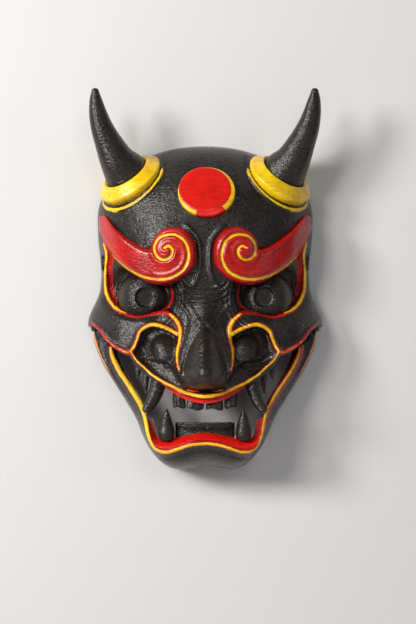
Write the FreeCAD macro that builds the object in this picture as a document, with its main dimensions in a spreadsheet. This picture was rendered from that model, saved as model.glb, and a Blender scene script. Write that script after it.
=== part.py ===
"""Wall-hung demon mask: a thin domed face with a swinging lower jaw, horns, scroll brows and fangs.

Millimetres. +X is the viewer's right, +Z is up and the mask faces -Y, with the wall plane at y = 0.
The origin is the centre of the hanging hole. Free-form pieces are drawn about the eye line and every
piece is then lowered by HangHeight, the height of the hanging hole above the eye line.
"""

import FreeCAD, Part
import math
import os

V = FreeCAD.Vector
Turn = FreeCAD.Rotation
doc = FreeCAD.newDocument("demon_mask")

# ---------------------------------------------------------------- driving dimensions
SIZES = {
    "HangHeight": 81.0,        # hanging hole above the eye line
    "FaceTop": 95.5,           # crown above the eye line, before it is raised
    "CrownLift": 3.6,          # how far the very top of the crown is raised to make it fuller
    "TempleWidth": 142.0,      # face across the temples
    "KnuckleWidth": 154.6,     # face across the jaw hinges
    "DomeDepth": 52.0,         # forehead in front of the wall
    "ShellWall": 3.0,
    "NoseHeight": 24.0,        # nose tip in front of the dome
    "EyeSpacing": 76.0,
    "EyeRadius": 19.0,
    "EyeWall": 2.5,
    "EyeDepth": 19.5,          # eye centre in front of the wall
    "EyeDrop": 1.0,            # eye centre below the eye line
    "PupilRadius": 4.6,
    "DiscRadius": 16.8,
    "DiscHeight": 67.0,
    "DiscTilt": 28.2,          # degrees that the forehead leans back there
    "DiscRise": 2.2,
    "DiscSink": 3.0,
    "CrescentRadius": 18.6,
    "CrescentDrop": 1.9,
    "BrowRise": 6.0,
    "HornRadius": 14.4,
    "SeatRise": 1.5,           # horn seat above the dome, along the horn
    "SeatSink": 9.0,
    "CollarBore": 14.6,
    "CollarBase": 22.0,
    "CollarTop": 16.4,
    "CollarSink": 5.0,
    "CollarRise": 6.0,
    "HornScrew": 2.0,          # shaft radius
    "HornScrewLength": 24.0,
    "ScrewHead": 4.0,
    "HeadThick": 2.8,
    "PinRadius": 2.45,
    "KnuckleBore": 2.5,
    "KnuckleRadius": 6.0,
    "KnuckleIn": 65.2,         # knuckle's inner and outer faces, from the mid plane
    "KnuckleOut": 70.2,
    "BossIn": 70.5,
    "BossOut": 74.5,
    "BossRadius": 5.0,
    "StopRadius": 1.5,
    "HingeDrop": 18.0,         # hinge below the eye line
    "HingeDepth": 7.5,         # hinge in front of the wall
    "CordBore": 2.2,
    "EyeletBody": 3.2,
    "EyeletFlange": 5.0,
    "FlangeThick": 0.6,
    "CordHeight": 22.0,
    "CordDepth": 12.0,
    "CordPadIn": 61.5,
    "CordPadOut": 66.9,
    "PlateWidth": 36.0,
    "PlateHeight": 13.0,
    "PlateThick": 1.5,
    "HangRadius": 4.5,
    "SlotRadius": 2.25,
    "SlotRise": 5.0,
    "PlateScrew": 1.4,
    "PlateScrewHead": 2.6,
    "PlateScrewSink": 1.2,
    "PlateScrewSpan": 26.0,
    "PlateScrewLength": 10.0,
    "GumThick": 3.0,
    "FangSpacing": 49.2,
    "FangRadius": 5.2,
    "FangHeight": 18.0,
}

sheet = doc.addObject("Spreadsheet::Sheet", "Sizes")
for row, (alias, value) in enumerate(SIZES.items(), start=1):
    sheet.set(f"A{row}", alias)
    sheet.set(f"B{row}", str(value))
    sheet.setAlias(f"B{row}", alias)
doc.recompute()


def size(alias):
    """A driving dimension, read back from the sheet."""
    return float(sheet.get(alias))


LOWER = V(0, 0, -size("HangHeight"))     # from the eye-line frame to the part's frame
SIDES = {"left": -1, "right": 1}
PIECES = []                              # the sub-parts, in the order in which they are made


def bind(thing, **cells):
    """Binds properties of a document object to expressions on the sheet."""
    for name, formula in cells.items():
        thing.setExpression(name, formula)
    return thing


def keep(thing, label):
    """Marks a document object as a finished sub-part."""
    thing.Label = label
    PIECES.append(thing)
    return thing


def free_form(name, shape, label=None):
    """A Part::Feature with the given shape, lowered into the part's frame."""
    thing = doc.addObject("Part::Feature", name)
    thing.Shape = shape
    thing.Placement = FreeCAD.Placement(LOWER, Turn())
    return keep(thing, label) if label else thing


def along(origin, direction, distance=0.0):
    """Placement in the part's frame whose +Z runs along direction, moved that way by distance."""
    way = V(direction).normalize()
    return FreeCAD.Placement(origin + way * distance + LOWER, Turn(V(0, 0, 1), way))


def cylinder(name, place, radius, height):
    thing = doc.addObject("Part::Cylinder", name)
    bind(thing, Radius=radius, Height=height)
    thing.Placement = place
    return thing


def cone(name, place, bottom, top, height):
    thing = doc.addObject("Part::Cone", name)
    bind(thing, Radius1=bottom, Radius2=top, Height=height)
    thing.Placement = place
    return thing


def cut(name, base, tool, label=None):
    thing = doc.addObject("Part::Cut", name)
    thing.Base = base
    thing.Tool = tool
    return keep(thing, label) if label else thing


def fuse(name, things, label=None):
    thing = doc.addObject("Part::MultiFuse", name)
    thing.Shapes = things
    return keep(thing, label) if label else thing


# ---------------------------------------------------------------- the dome of the face
SIDE_TOP = 52.0          # above this height the outline closes over the crown
BROW_LINE = 35.0         # above this height the dome falls back to the crown
WAIST = 15.0             # height at which the temples are narrowest
SADDLE = -8.0            # height at which the eyes and cheeks lie deepest
EDGE = 0.8               # the crown is cut off this far below its very top

# lower edge of the face: from the lip's middle out to the cheek point, the arch over the jaw and the side
LOWER_EDGE = [(0, -65), (8, -64.3), (16, -62), (25, -57.8), (34.4, -52.5), (43, -46), (48, -38.5),
              (52, -36.8), (56, -35), (60, -32), (64.5, -28), (68, -23.5), (71.5, -19.8), (74, -23),
              (75.5, -26.5), (77.3, -22)]


def ease(t):
    """0 below 0, 1 above 1 and smooth between."""
    t = max(0.0, min(1.0, t))
    return t * t * (3 - 2 * t)


def between(table, x):
    """Straight interpolation in a table of (x, value)."""
    for (a, p), (b, q) in zip(table, table[1:]):
        if x <= b:
            return p + (q - p) * (x - a) / (b - a)
    return table[-1][1]


def half_width(z, inset):
    """Half the dome's width at a height, for a dome shrunk all round by inset."""
    temple, knuckle = size("TempleWidth") / 2, size("KnuckleWidth") / 2
    wide = temple - 2.5 * math.exp(-(((z - WAIST) / 18) ** 2)) - inset
    wide += (knuckle - temple) * ease((5 - z) / 23)
    if z > SIDE_TOP:
        wide *= math.sqrt(max(0.0, 1 - ((z - SIDE_TOP) / (size("FaceTop") - inset - SIDE_TOP)) ** 2))
    return wide


def centre_depth(z, inset):
    """How far the dome stands in front of the wall on the mid plane."""
    deep = size("DomeDepth") - inset - 4.5 * math.exp(-(((z - SADDLE) / 22) ** 2))
    if z > BROW_LINE:
        deep *= math.sqrt(max(0.0, 1 - ((z - BROW_LINE) / (size("FaceTop") - inset - BROW_LINE)) ** 2))
    return deep


def relief(x, z, inset):
    """Nose, eye hollows, brow bosses and muzzle on top of the dome."""
    grown = max(0.0, min(1.0, (2 - z) / 48))
    nose = (size("NoseHeight") - 0.4 * inset) * grown ** 1.3 * ease((z + 59 - inset) / 9)
    deep = nose * math.exp(-abs(x / (6.5 + 7 * grown - 0.8 * inset)) ** 2.4)
    hollow = math.hypot((abs(x) - 42) / 24, (z - 3) / 17)
    deep -= 9 * ease((1.15 - hollow) / 0.4)
    deep += 3 * math.exp(-(((abs(x) - 30) / 16) ** 2) - ((z - 36) / 14) ** 2)
    deep += 4 * math.exp(-((x / 26) ** 2) - ((z + 60) / 14) ** 2)
    return deep


def dome_depth(x, z, inset, featured=True):
    """Depth of the dome in front of the wall at a point of the front view."""
    share = math.sqrt(max(0.0, 1 - (x / half_width(z, inset)) ** 2))
    deep = centre_depth(z, inset) * share
    if featured:
        deep += relief(x, z, inset) * min(1.0, 2.5 * share)
    return deep


def raised(z):
    """A height on the dome, raised near the crown."""
    return z + size("CrownLift") * ease((z - 76) / 18)


def dome_surface(inset, featured=True, columns=49, rows=45):
    """The dome as one spline surface, its columns fanned by angle and its rows crowded at the crown."""
    grid = []
    knuckle = size("KnuckleWidth") / 2
    for i in range(columns):
        angle = math.pi * (i / (columns - 1) - 0.5)
        bottom = between(LOWER_EDGE, abs(knuckle * math.sin(angle))) if featured else LOWER_EDGE[-1][1]
        top = size("FaceTop") - inset - EDGE
        column = []
        for j in range(rows):
            z = top + (bottom - top) * (j / (rows - 1)) ** 1.6
            x = half_width(z, inset) * math.sin(angle)
            rim = i in (0, columns - 1)
            column.append(V(x, 0.0 if rim else -dome_depth(x, z, inset, featured), raised(z)))
        grid.append(column)
    surface = Part.BSplineSurface()
    surface.interpolate(grid)
    return surface


def skin_between(outer, inner):
    """A closed solid between two surfaces with the same layout, its four edges closed by ruled faces."""
    faces = [outer.toShape(), inner.toShape()]
    o, i = outer.bounds(), inner.bounds()
    for pair in ((outer.uIso(o[0]), inner.uIso(i[0])), (outer.uIso(o[1]), inner.uIso(i[1])),
                 (outer.vIso(o[2]), inner.vIso(i[2])), (outer.vIso(o[3]), inner.vIso(i[3]))):
        faces.append(Part.makeRuledSurface(pair[0].toShape(), pair[1].toShape()))
    shell = Part.makeShell(faces)
    shell.sewShape()
    solid = Part.Solid(shell)
    if solid.Volume < 0:
        solid.reverse()
    return solid


def in_front_of_wall(shape):
    """The part of a shape that is in front of the wall plane."""
    return shape.common(Part.makeBox(400, 200, 400, V(-200, -200, -200)))


# ---------------------------------------------------------------- places on the face
HORN_WAY = V(0.50, -0.46, 0.73).normalize()            # right horn's axis where it leaves the dome
HORN_X, HORN_Z = 49.0, 77.0
HORN_ROOT = V(HORN_X, -dome_depth(HORN_X, HORN_Z, 0, False), HORN_Z)
DISC_WAY = V(0, -math.cos(math.radians(size("DiscTilt"))), math.sin(math.radians(size("DiscTilt"))))
DISC_UP = V(0, DISC_WAY.z, -DISC_WAY.y)                # uphill in the disc's own plane
DISC_ROOT = V(0, -dome_depth(0, size("DiscHeight"), 0, False), size("DiscHeight"))


def to_side(point, side):
    """Mirrors a point or direction given for the right half, which has positive x."""
    return V(side * point.x, point.y, point.z)


# ---------------------------------------------------------------- face shell
def hinge_axis(side, x):
    return V(side * x, -size("HingeDepth"), -size("HingeDrop"))


def eye_centre(side):
    return V(side * size("EyeSpacing") / 2, -size("EyeDepth"), -size("EyeDrop"))


def cord_point(side, x):
    return V(side * x, -size("CordDepth"), size("CordHeight"))


def make_face_shell():
    skin = skin_between(dome_surface(0), dome_surface(size("ShellWall")))
    added = [free_form("face_skin", skin)]
    added.append(free_form("hanger_block", hanger_block()))
    holes = [cylinder("disc_recess", along(DISC_ROOT, DISC_WAY, -size("DiscSink")),
                      "Sizes.DiscRadius", "20"),
             cylinder("crescent_recess",
                      along(DISC_ROOT - DISC_UP * size("CrescentDrop"), DISC_WAY, -size("DiscSink")),
                      "Sizes.CrescentRadius", "20")]
    added.append(cylinder("disc_seat", along(DISC_ROOT, DISC_WAY, -6), "Sizes.CrescentRadius + 2",
                          "5"))
    for name, side in SIDES.items():
        way = to_side(HORN_WAY, side)
        root = to_side(HORN_ROOT, side)
        outward = V(side, 0, 0)
        added.append(cylinder(f"horn_seat_{name}", along(root, way, -size("SeatSink")),
                              "Sizes.HornRadius", "Sizes.SeatSink + Sizes.SeatRise"))
        holes.append(cylinder(f"horn_screw_hole_{name}", along(root, way, -20),
                              "Sizes.HornScrew", "40"))
        holes.append(collar_blank(f"collar_recess_{name}", side))
        added.append(cylinder(f"hinge_boss_{name}", along(hinge_axis(side, size("BossIn")), outward),
                              "Sizes.BossRadius", "Sizes.BossOut - Sizes.BossIn"))
        holes.append(cylinder(f"pin_hole_{name}", along(hinge_axis(side, size("BossIn")), outward),
                              "Sizes.PinRadius", "3"))
        added.append(cylinder(f"cord_pad_{name}", along(cord_point(side, size("CordPadIn")), outward),
                              "Sizes.EyeletFlange + 0.6", "Sizes.CordPadOut - Sizes.CordPadIn"))
        holes.append(cylinder(f"cord_hole_{name}", along(cord_point(side, 55), outward),
                              "Sizes.EyeletBody", "20"))
        holes.append(cylinder(f"cord_recess_{name}", along(cord_point(side, size("CordPadOut")), outward),
                              "Sizes.EyeletFlange", "4"))
        eyeball = bind(doc.addObject("Part::Sphere", f"eyeball_{name}"), Radius="Sizes.EyeRadius")
        eyeball.Placement = FreeCAD.Placement(eye_centre(side) + LOWER, Turn())
        holes.append(eyeball)
        holes.append(free_form(f"brow_recess_{name}", brow_shape(side)))
        added.append(cylinder(f"jaw_stop_{name}", along(V(side * 66, -12.5, -9), outward),
                              "Sizes.StopRadius", "5"))
    body = fuse("face_with_bosses", added)
    return cut("face_shell", body, fuse("face_cutters", holes + [hanger_cutter()]), "face_shell")


def hanger_block():
    """Block behind the crown that carries the hanger plate: deep below and shallow above."""
    half = size("PlateWidth") / 2
    back = -size("PlateThick")
    side = [V(-half, back, 74), V(-half, -36, 75.5), V(-half, -16, 90), V(-half, back, 90)]
    return Part.Face(Part.makePolygon(side + side[:1])).extrude(V(2 * half, 0, 0))


def hanger_cutter():
    """Pocket for the wall screw's head and the two pilot holes for the hanger plate."""
    pocket = Part.makeBox(16, 9, 13, V(-8, -9 - size("PlateThick"), size("HangHeight") - 6))
    shape = pocket
    for side in SIDES.values():
        centre = V(side * size("PlateScrewSpan") / 2, 0, size("HangHeight") + 1)
        shape = shape.fuse(Part.makeCylinder(size("PlateScrew"), size("PlateScrewLength") + 1, centre,
                                             V(0, -1, 0)))
    return free_form("hanger_cutter", shape)


def collar_blank(name, side):
    """The horn collar's outside and bore, as one ring."""
    place = along(to_side(HORN_ROOT, side), to_side(HORN_WAY, side), -size("CollarSink"))
    outside = cone(name + "_outside", place, "Sizes.CollarBase", "Sizes.CollarTop",
                   "Sizes.CollarSink + Sizes.CollarRise")
    bore = cylinder(name + "_bore", place, "Sizes.CollarBore",
                    "Sizes.CollarSink + Sizes.CollarRise + 1")
    return cut(name, outside, bore)


# ---------------------------------------------------------------- pieces on the face
BROW_EDGE = [(70.4, 52.5), (64.3, 51.6), (55.2, 41.9), (43.5, 33.3), (35.0, 30.0)]
BROW_SCROLL = [(35.0, 30.0), (30.8, 38.8), (25.2, 43.1), (19.2, 43.9), (12.1, 41.9), (6.9, 35.3),
               (5.2, 27.5), (6.9, 18.3), (14.7, 10.5), (25.8, 6.9), (37.6, 9.2), (53.9, 19.6),
               (62.4, 30.0), (70.5, 42.5)]


BROW_SINK = 1.2          # the brows are let into the skin by this much


def spline(points):
    curve = Part.BSplineCurve()
    curve.interpolate(points)
    return curve.toShape()


def brow_shape(side):
    """A scroll brow: the outline's prism, from just under the face's skin to a smooth dome above it."""
    def flat(points):
        return [V(side * x, -120, z) for x, z in points]
    outline = Part.Wire([spline(flat(BROW_EDGE)), spline(flat(BROW_SCROLL)),
                         Part.makeLine(flat(BROW_SCROLL)[-1], flat(BROW_EDGE)[0])])
    prism = Part.Face(outline).extrude(V(0, 120, 0))
    band = skin_between(dome_surface(-size("BrowRise"), False), dome_surface(BROW_SINK))
    return prism.common(band).cut(Part.makeSphere(size("EyeRadius"), eye_centre(side)))


def make_brow(name, side):
    return free_form(f"brow_{name}", brow_shape(side), f"brow_{name}")


def make_disc_and_crescent():
    height = "Sizes.DiscSink + Sizes.DiscRise"
    disc = cylinder("forehead_disc", along(DISC_ROOT, DISC_WAY, -size("DiscSink")), "Sizes.DiscRadius",
                    height)
    keep(disc, "forehead_disc")
    low = DISC_ROOT - DISC_UP * size("CrescentDrop")
    blank = cylinder("crescent_blank", along(low, DISC_WAY, -size("DiscSink")), "Sizes.CrescentRadius",
                     "Sizes.DiscSink + Sizes.DiscRise / 2")
    hole = cylinder("crescent_hole", along(DISC_ROOT, DISC_WAY, -size("DiscSink") - 1),
                    "Sizes.DiscRadius", "20")
    cut("forehead_crescent", blank, hole, "forehead_crescent")


def make_eye(name, side):
    """A domed eye cap turned about its own axis, with a pupil hole flared at the front."""
    body = doc.addObject("PartDesign::Body", f"eye_{name}")
    sketch = body.newObject("Sketcher::SketchObject", f"eye_profile_{name}")
    plane = [f for f in body.Origin.OriginFeatures if f.Role == "XZ_Plane"][0]
    sketch.AttachmentSupport = [(plane, "")]
    sketch.MapMode = "FlatFace"
    outer, inner = size("EyeRadius"), size("EyeRadius") - size("EyeWall")
    pupil, flare = size("PupilRadius"), 2.0

    def on(radius, x):
        return V(x, math.sqrt(radius ** 2 - x ** 2), 0)

    def arc(radius, x):
        return Part.Arc(on(radius, x), on(radius, 0.75 * radius), V(radius, 0, 0))
    throat = V(pupil, on(outer, pupil).y - flare, 0)
    sketch.addGeometry([
        arc(outer, pupil + flare),
        Part.LineSegment(V(outer, 0, 0), V(inner, 0, 0)),
        arc(inner, pupil),
        Part.LineSegment(on(inner, pupil), throat),
        Part.LineSegment(throat, on(outer, pupil + flare)),
    ])
    turned = body.newObject("PartDesign::Revolution", f"eye_turned_{name}")
    turned.Profile = sketch
    turned.ReferenceAxis = (sketch, ["V_Axis"])
    turned.Angle = 360
    body.Placement = FreeCAD.Placement(eye_centre(side) + LOWER, Turn(V(1, 0, 0), 90))
    return keep(body, f"eye_{name}")


# ---------------------------------------------------------------- horns and collars
# right horn: centre of each section in the eye-line frame and its radius
HORN_LINE = [((57.0, -27.8, 88.5), 11.4), ((62.2, -31.5, 99.0), 8.9), ((66.0, -34.2, 108.0), 7.3),
             ((68.4, -36.0, 116.5), 5.9), ((69.8, -37.0, 125.0), 4.2), ((70.2, -37.5, 130.6), 2.6)]


def ring(centre, way, radius):
    return Part.Wire(Part.makeCircle(radius, centre, way))


def lofted(centres, radii, first_way=None, round_tip=True):
    """A round tapering solid through the given centres, with a ball at its tip."""
    rings = []
    for i, (centre, radius) in enumerate(zip(centres, radii)):
        before, after = centres[max(0, i - 1)], centres[min(len(centres) - 1, i + 1)]
        way = first_way if i == 0 and first_way else after - before
        rings.append(ring(centre, way, radius))
    solid = Part.makeLoft(rings, True, False)
    if round_tip:
        solid = solid.fuse(Part.makeSphere(radii[-1], centres[-1]))
    return solid


def make_horn(name, side):
    root, way = to_side(HORN_ROOT, side), to_side(HORN_WAY, side)
    base = root + way * size("SeatRise")
    shoulder = root + way * (size("CollarRise") + 0.5)
    centres = [base, shoulder] + [to_side(V(*centre), side) for centre, radius in HORN_LINE]
    radii = [size("HornRadius"), size("HornRadius") - 0.4] + [radius for centre, radius in HORN_LINE]
    solid = lofted(centres, radii, way)
    core = cylinder(f"horn_core_{name}", along(root, way, size("SeatRise") - 1), "Sizes.HornScrew",
                    "Sizes.HornScrewLength - Sizes.SeatSink")
    return cut(f"horn_{name}", free_form(f"horn_blank_{name}", solid), core, f"horn_{name}")


def make_horn_screw(name, side):
    root, way = to_side(HORN_ROOT, side), to_side(HORN_WAY, side)
    shaft = cylinder(f"screw_shaft_{name}", along(root, way, -size("SeatSink")), "Sizes.HornScrew",
                     "Sizes.HornScrewLength")
    head = cylinder(f"screw_head_{name}", along(root, way, -size("SeatSink") - size("HeadThick")),
                    "Sizes.ScrewHead", "Sizes.HeadThick")
    return fuse(f"horn_screw_{name}", [shaft, head], f"horn_screw_{name}")


# ---------------------------------------------------------------- hinge, cord eyelets and hanger
def make_hinge_pin(name, side):
    outward = V(side, 0, 0)
    shaft = cylinder(f"pin_shaft_{name}", along(hinge_axis(side, size("KnuckleIn") - 0.3), outward),
                     "Sizes.PinRadius", "Sizes.BossIn - Sizes.KnuckleIn + 3.3")
    head = cylinder(f"pin_head_{name}", along(hinge_axis(side, size("KnuckleIn") - 2.3), outward),
                    "Sizes.PinRadius + 1.8", "2")
    return fuse(f"hinge_pin_{name}", [shaft, head], f"hinge_pin_{name}")


def make_eyelet(name, side):
    """A turned metal eyelet through the temple for the mask's tying cord."""
    outward = V(side, 0, 0)
    barrel = cylinder(f"eyelet_barrel_{name}", along(cord_point(side, size("CordPadIn")), outward),
                      "Sizes.EyeletBody", "Sizes.CordPadOut - Sizes.CordPadIn")
    flange = cylinder(f"eyelet_flange_{name}", along(cord_point(side, size("CordPadOut")), outward),
                      "Sizes.EyeletFlange", "Sizes.FlangeThick")
    bore = cylinder(f"eyelet_bore_{name}", along(cord_point(side, size("CordPadIn") - 1), outward),
                    "Sizes.CordBore", "20")
    blank = fuse(f"eyelet_blank_{name}", [barrel, flange])
    return cut(f"cord_eyelet_{name}", blank, bore, f"cord_eyelet_{name}")


def make_hanger_plate():
    """Flat steel plate with a keyhole, let in flush with the wall plane."""
    body = doc.addObject("PartDesign::Body", "plate_blank")
    plane = [f for f in body.Origin.OriginFeatures if f.Role == "XZ_Plane"][0]

    def sketch_on(name, geometry):
        sketch = body.newObject("Sketcher::SketchObject", name)
        sketch.AttachmentSupport = [(plane, "")]
        sketch.MapMode = "FlatFace"
        sketch.addGeometry(geometry)
        return sketch
    half, low = size("PlateWidth") / 2, -6.0
    high = low + size("PlateHeight")
    corners = [V(-half, low, 0), V(half, low, 0), V(half, high, 0), V(-half, high, 0)]
    edges = [Part.LineSegment(a, b) for a, b in zip(corners, corners[1:] + corners[:1])]
    pad = body.newObject("PartDesign::Pad", "plate_pad")
    pad.Profile = sketch_on("plate_outline", edges)
    bind(pad, Length="Sizes.PlateThick")
    hang, slot, rise = size("HangRadius"), size("SlotRadius"), size("SlotRise")
    joint = V(slot, math.sqrt(hang ** 2 - slot ** 2), 0)
    other = V(-joint.x, joint.y, 0)
    keyhole = [Part.Arc(joint, V(0, -hang, 0), other),
               Part.LineSegment(other, V(-slot, rise - 0.5, 0)),
               Part.Arc(V(-slot, rise - 0.5, 0), V(0, rise - 0.5 + slot, 0), V(slot, rise - 0.5, 0)),
               Part.LineSegment(V(slot, rise - 0.5, 0), joint)]
    hole = body.newObject("PartDesign::Pocket", "plate_keyhole")
    hole.Profile = sketch_on("keyhole_outline", keyhole)
    hole.Type = "ThroughAll"
    hole.Midplane = True
    body.Tip = hole
    screws = free_form("plate_screw_cutter", hanger_screws())
    return cut("hanger_plate", body, screws, "hanger_plate")


def hanger_screws():
    """Two small countersunk screws, flush with the back of the plate."""
    shapes = []
    for side in SIDES.values():
        centre = V(side * size("PlateScrewSpan") / 2, 0, size("HangHeight") + 1)
        shaft = Part.makeCylinder(size("PlateScrew"), size("PlateScrewLength"), centre, V(0, -1, 0))
        head = Part.makeCone(size("PlateScrewHead"), size("PlateScrew"), size("PlateScrewSink"), centre,
                             V(0, -1, 0))
        shapes.append(shaft.fuse(head))
    return Part.makeCompound(shapes)


# ---------------------------------------------------------------- jaw
# right half of the jaw, from the hinge to the chin: mouth edge (x, z), outer edge (x, z), depth at the mouth
JAW = [((58.5, -24.5), (71.2, -24.5), 12.0), ((57.5, -33), (71.0, -32), 19.0),
       ((53, -46), (65.5, -45), 26.0), ((46.5, -57), (58.8, -56.8), 31.0),
       ((40, -68), (51.3, -69.6), 35.0), ((37, -78), (45, -80.2), 39.0),
       ((35, -88), (41, -90), 43.0), ((32, -94.5), (35.5, -100), 46.0),
       ((26, -96.8), (27.5, -109), 48.0), ((18, -95.3), (18, -113), 49.0),
       ((8, -91.8), (9, -112), 50.0), ((0, -91), (0, -111), 50.0)]
JAW_REST = 2.0           # the jaw's back rim stays this far in front of the wall


def jaw_surface(inset, steps=9):
    """The jaw as a band that rolls from the mouth's edge over to its back rim."""
    whole = [((-a[0], a[1]), (-b[0], b[1]), d) for a, b, d in JAW] + list(reversed(JAW[:-1]))
    grid = []
    for i, (mouth, edge, deep) in enumerate(whole):
        across = V(edge[0] - mouth[0], 0, edge[1] - mouth[1])
        wide = across.Length - inset
        across.normalize()
        column = []
        for j in range(steps):
            roll = math.pi / 2 * j / (steps - 1)
            reach = wide * math.sin(roll)
            front = (deep - inset - JAW_REST) * math.cos(roll) ** 0.75 if j < steps - 1 else 0
            point = V(mouth[0], 0, mouth[1]) + across * reach
            column.append(V(point.x, -(JAW_REST + front), point.z))
        grid.append(column)
    surface = Part.BSplineSurface()
    surface.interpolate(grid)
    return surface


def make_jaw():
    shape = skin_between(jaw_surface(0), jaw_surface(size("ShellWall")))
    things = [free_form("jaw_skin", shape)]
    bores = []
    for name, side in SIDES.items():
        outward = V(side, 0, 0)
        low = size("KnuckleIn") if side > 0 else -size("KnuckleOut")
        web = Part.makeBox(size("KnuckleOut") - size("KnuckleIn"), 9.0, 12, V(low, -11.4, -30))
        things.append(free_form(f"knuckle_web_{name}", web))
        heel = Part.makeBox(3.6, 6.4, 10, V(side * 67.1 - 1.8, -10.7, -17.5))
        things.append(free_form(f"knuckle_heel_{name}", heel))
        things.append(cylinder(f"knuckle_{name}", along(hinge_axis(side, size("KnuckleIn")), outward),
                               "Sizes.KnuckleRadius", "Sizes.KnuckleOut - Sizes.KnuckleIn"))
        bores.append(cylinder(f"knuckle_bore_{name}", along(hinge_axis(side, 50), outward),
                              "Sizes.KnuckleBore", "40"))
    blank = fuse("jaw_blank", things)
    return cut("jaw_shell", blank, fuse("jaw_bores", bores), "jaw_shell")


def strip(edge_a, edge_b, thick):
    """A ruled band between two edges, made solid by running it back towards the wall."""
    return Part.makeRuledSurface(spline(edge_a), spline(edge_b)).extrude(V(0, thick, 0))


def mirrored(points):
    """Points of the right half, mid plane last, as one run from left to right."""
    return [V(-p.x, p.y, p.z) for p in points] + list(reversed(points[:-1]))


def make_lower_gum():
    """The red inner lip: from the jaw's mouth edge back and up to the foot of the teeth."""
    top = [(33.6, -79.0), (31.4, -86.4), (29.6, -90.4), (24.5, -90.8), (16.4, -89.6), (7.6, -87.7),
           (0, -87.0)]
    front = mirrored([V(mouth[0], -(deep - 0.6), mouth[1]) for mouth, edge, deep in JAW[5:]])
    back = mirrored([V(x, -(deep - 6.0), z) for (x, z), (mouth, edge, deep) in zip(top, JAW[5:])])
    return free_form("lower_gum", strip(front, back, size("GumThick")), "lower_gum")


def make_lower_teeth():
    """Low ridge of joined teeth between the lower fangs, in two steps."""
    arc = [V(-19, -35.6, 0), V(0, -38.4, 0), V(19, -35.6, 0)]
    path = Part.Arc(*arc).toShape()
    solids = []
    for low, high, forward in ((-90.2, -85.4, 4.4), (-85.4, -80.6, 3.4)):
        wall = path.extrude(V(0, 0, high - low)).extrude(V(0, -forward, 0))
        wall.translate(V(0, 0, low))
        solids.append(wall)
    ridge = solids[0].fuse(solids[1])
    return free_form("lower_teeth", ridge, "lower_teeth")


def make_lower_fang(name, side):
    x, tall, r = size("FangSpacing") / 2, size("FangHeight"), size("FangRadius")
    profile = [(-0.12, 0.80), (0.0, 0.90), (0.2, 1.0), (0.55, 0.72), (0.82, 0.36), (0.955, 0.15)]
    centres = [V(side * x, -44.0 - 1.2 * share, -89.6 + share * tall) for share, wide in profile]
    radii = [wide * r for share, wide in profile]
    return free_form(f"lower_fang_{name}", lofted(centres, radii, V(0, 0, 1)), f"lower_fang_{name}")


# ---------------------------------------------------------------- upper gum and teeth
def lip_depth(x, z):
    """Depth of the shell's inner face, for pieces glued behind the lip."""
    return dome_depth(x, z, size("ShellWall"))


def make_upper_gum():
    """Red strip behind the upper lip, showing just below it in the middle."""
    half, count = 25.0, 11
    upper, lower = [], []
    for i in range(count):
        x = half * (2 * i / (count - 1) - 1)
        lip = between(LOWER_EDGE, abs(x))
        deep = lip_depth(x, lip + 3) + 0.4
        upper.append(V(x, -deep, lip + 5))
        lower.append(V(x, -deep, lip - 2.8 * (1 - (x / half) ** 2) - 0.2))
    return free_form("upper_gum", strip(upper, lower, size("GumThick")), "upper_gum")


def make_upper_teeth():
    """Four broad incisors that hang behind the gum strip."""
    solids = []
    for x0, x1, bottom in ((0.4, 11.4, -72.0), (12.3, 20.4, -71.0)):
        for side in SIDES.values():
            middle = side * (x0 + x1) / 2
            deep = lip_depth(middle, between(LOWER_EDGE, abs(middle)) + 3) - size("GumThick") + 0.9
            top = between(LOWER_EDGE, abs(middle)) + 2
            box = Part.makeBox(x1 - x0, 5, top - bottom, V(middle - (x1 - x0) / 2, -deep, bottom))
            solids.append(box.makeFillet(1.4, [e for e in box.Edges if e.BoundBox.ZMax < bottom + 0.1]))
    return free_form("upper_teeth", Part.makeCompound(solids), "upper_teeth")


def make_tusk(name, side):
    """Upper tusk: broad at the lip, curving down, outward and forward to a blunt end."""
    root = lip_depth(29, -49) - 3.6
    line = [(29.0, root, -48.0), (29.4, root + 1.2, -54.5), (31.0, root + 3.2, -61.0),
            (33.6, root + 5.6, -67.0), (36.8, root + 7.4, -71.8)]
    centres = [V(side * x, -deep, z) for x, deep, z in line]
    return free_form(f"tusk_{name}", lofted(centres, [4.2, 5.0, 4.6, 3.9, 3.0], V(0, 0, -1)),
                     f"tusk_{name}")


def make_back_teeth(name, side):
    """Two small pointed teeth on one root behind the lip, near the corner of the mouth."""
    root = Part.makeBox(10.6, 3.6, 3.6, V(side * 40 - 5.3, -lip_depth(40, -42) - 0.4, -44))
    spikes = []
    for x, bottom, r in ((37.4, -62.0, 2.4), (42.6, -53.0, 2.1)):
        deep = lip_depth(x, -43) - r + 0.4
        middle = (bottom - 42) / 2
        centres = [V(side * x, -deep, -42), V(side * x, -deep - 0.4, middle),
                   V(side * (x + 0.5), -deep - 0.8, bottom)]
        spikes.append(lofted(centres, [r, 0.85 * r, 0.6], V(0, 0, -1)))
    return free_form(f"back_teeth_{name}", root.fuse(spikes), f"back_teeth_{name}")


# ---------------------------------------------------------------- assembly
make_face_shell()
make_disc_and_crescent()
for name, side in SIDES.items():
    cut_name = f"horn_collar_{name}"
    keep(collar_blank(cut_name, side), cut_name)
    make_horn(name, side)
    make_horn_screw(name, side)
    make_brow(name, side)
    make_eye(name, side)
    make_hinge_pin(name, side)
    make_eyelet(name, side)
    make_tusk(name, side)
    make_back_teeth(name, side)
    make_lower_fang(name, side)
make_upper_gum()
make_upper_teeth()
make_jaw()
make_lower_gum()
make_lower_teeth()
make_hanger_plate()
free_form("hanger_screws", hanger_screws(), "hanger_screws")
doc.recompute()

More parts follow.
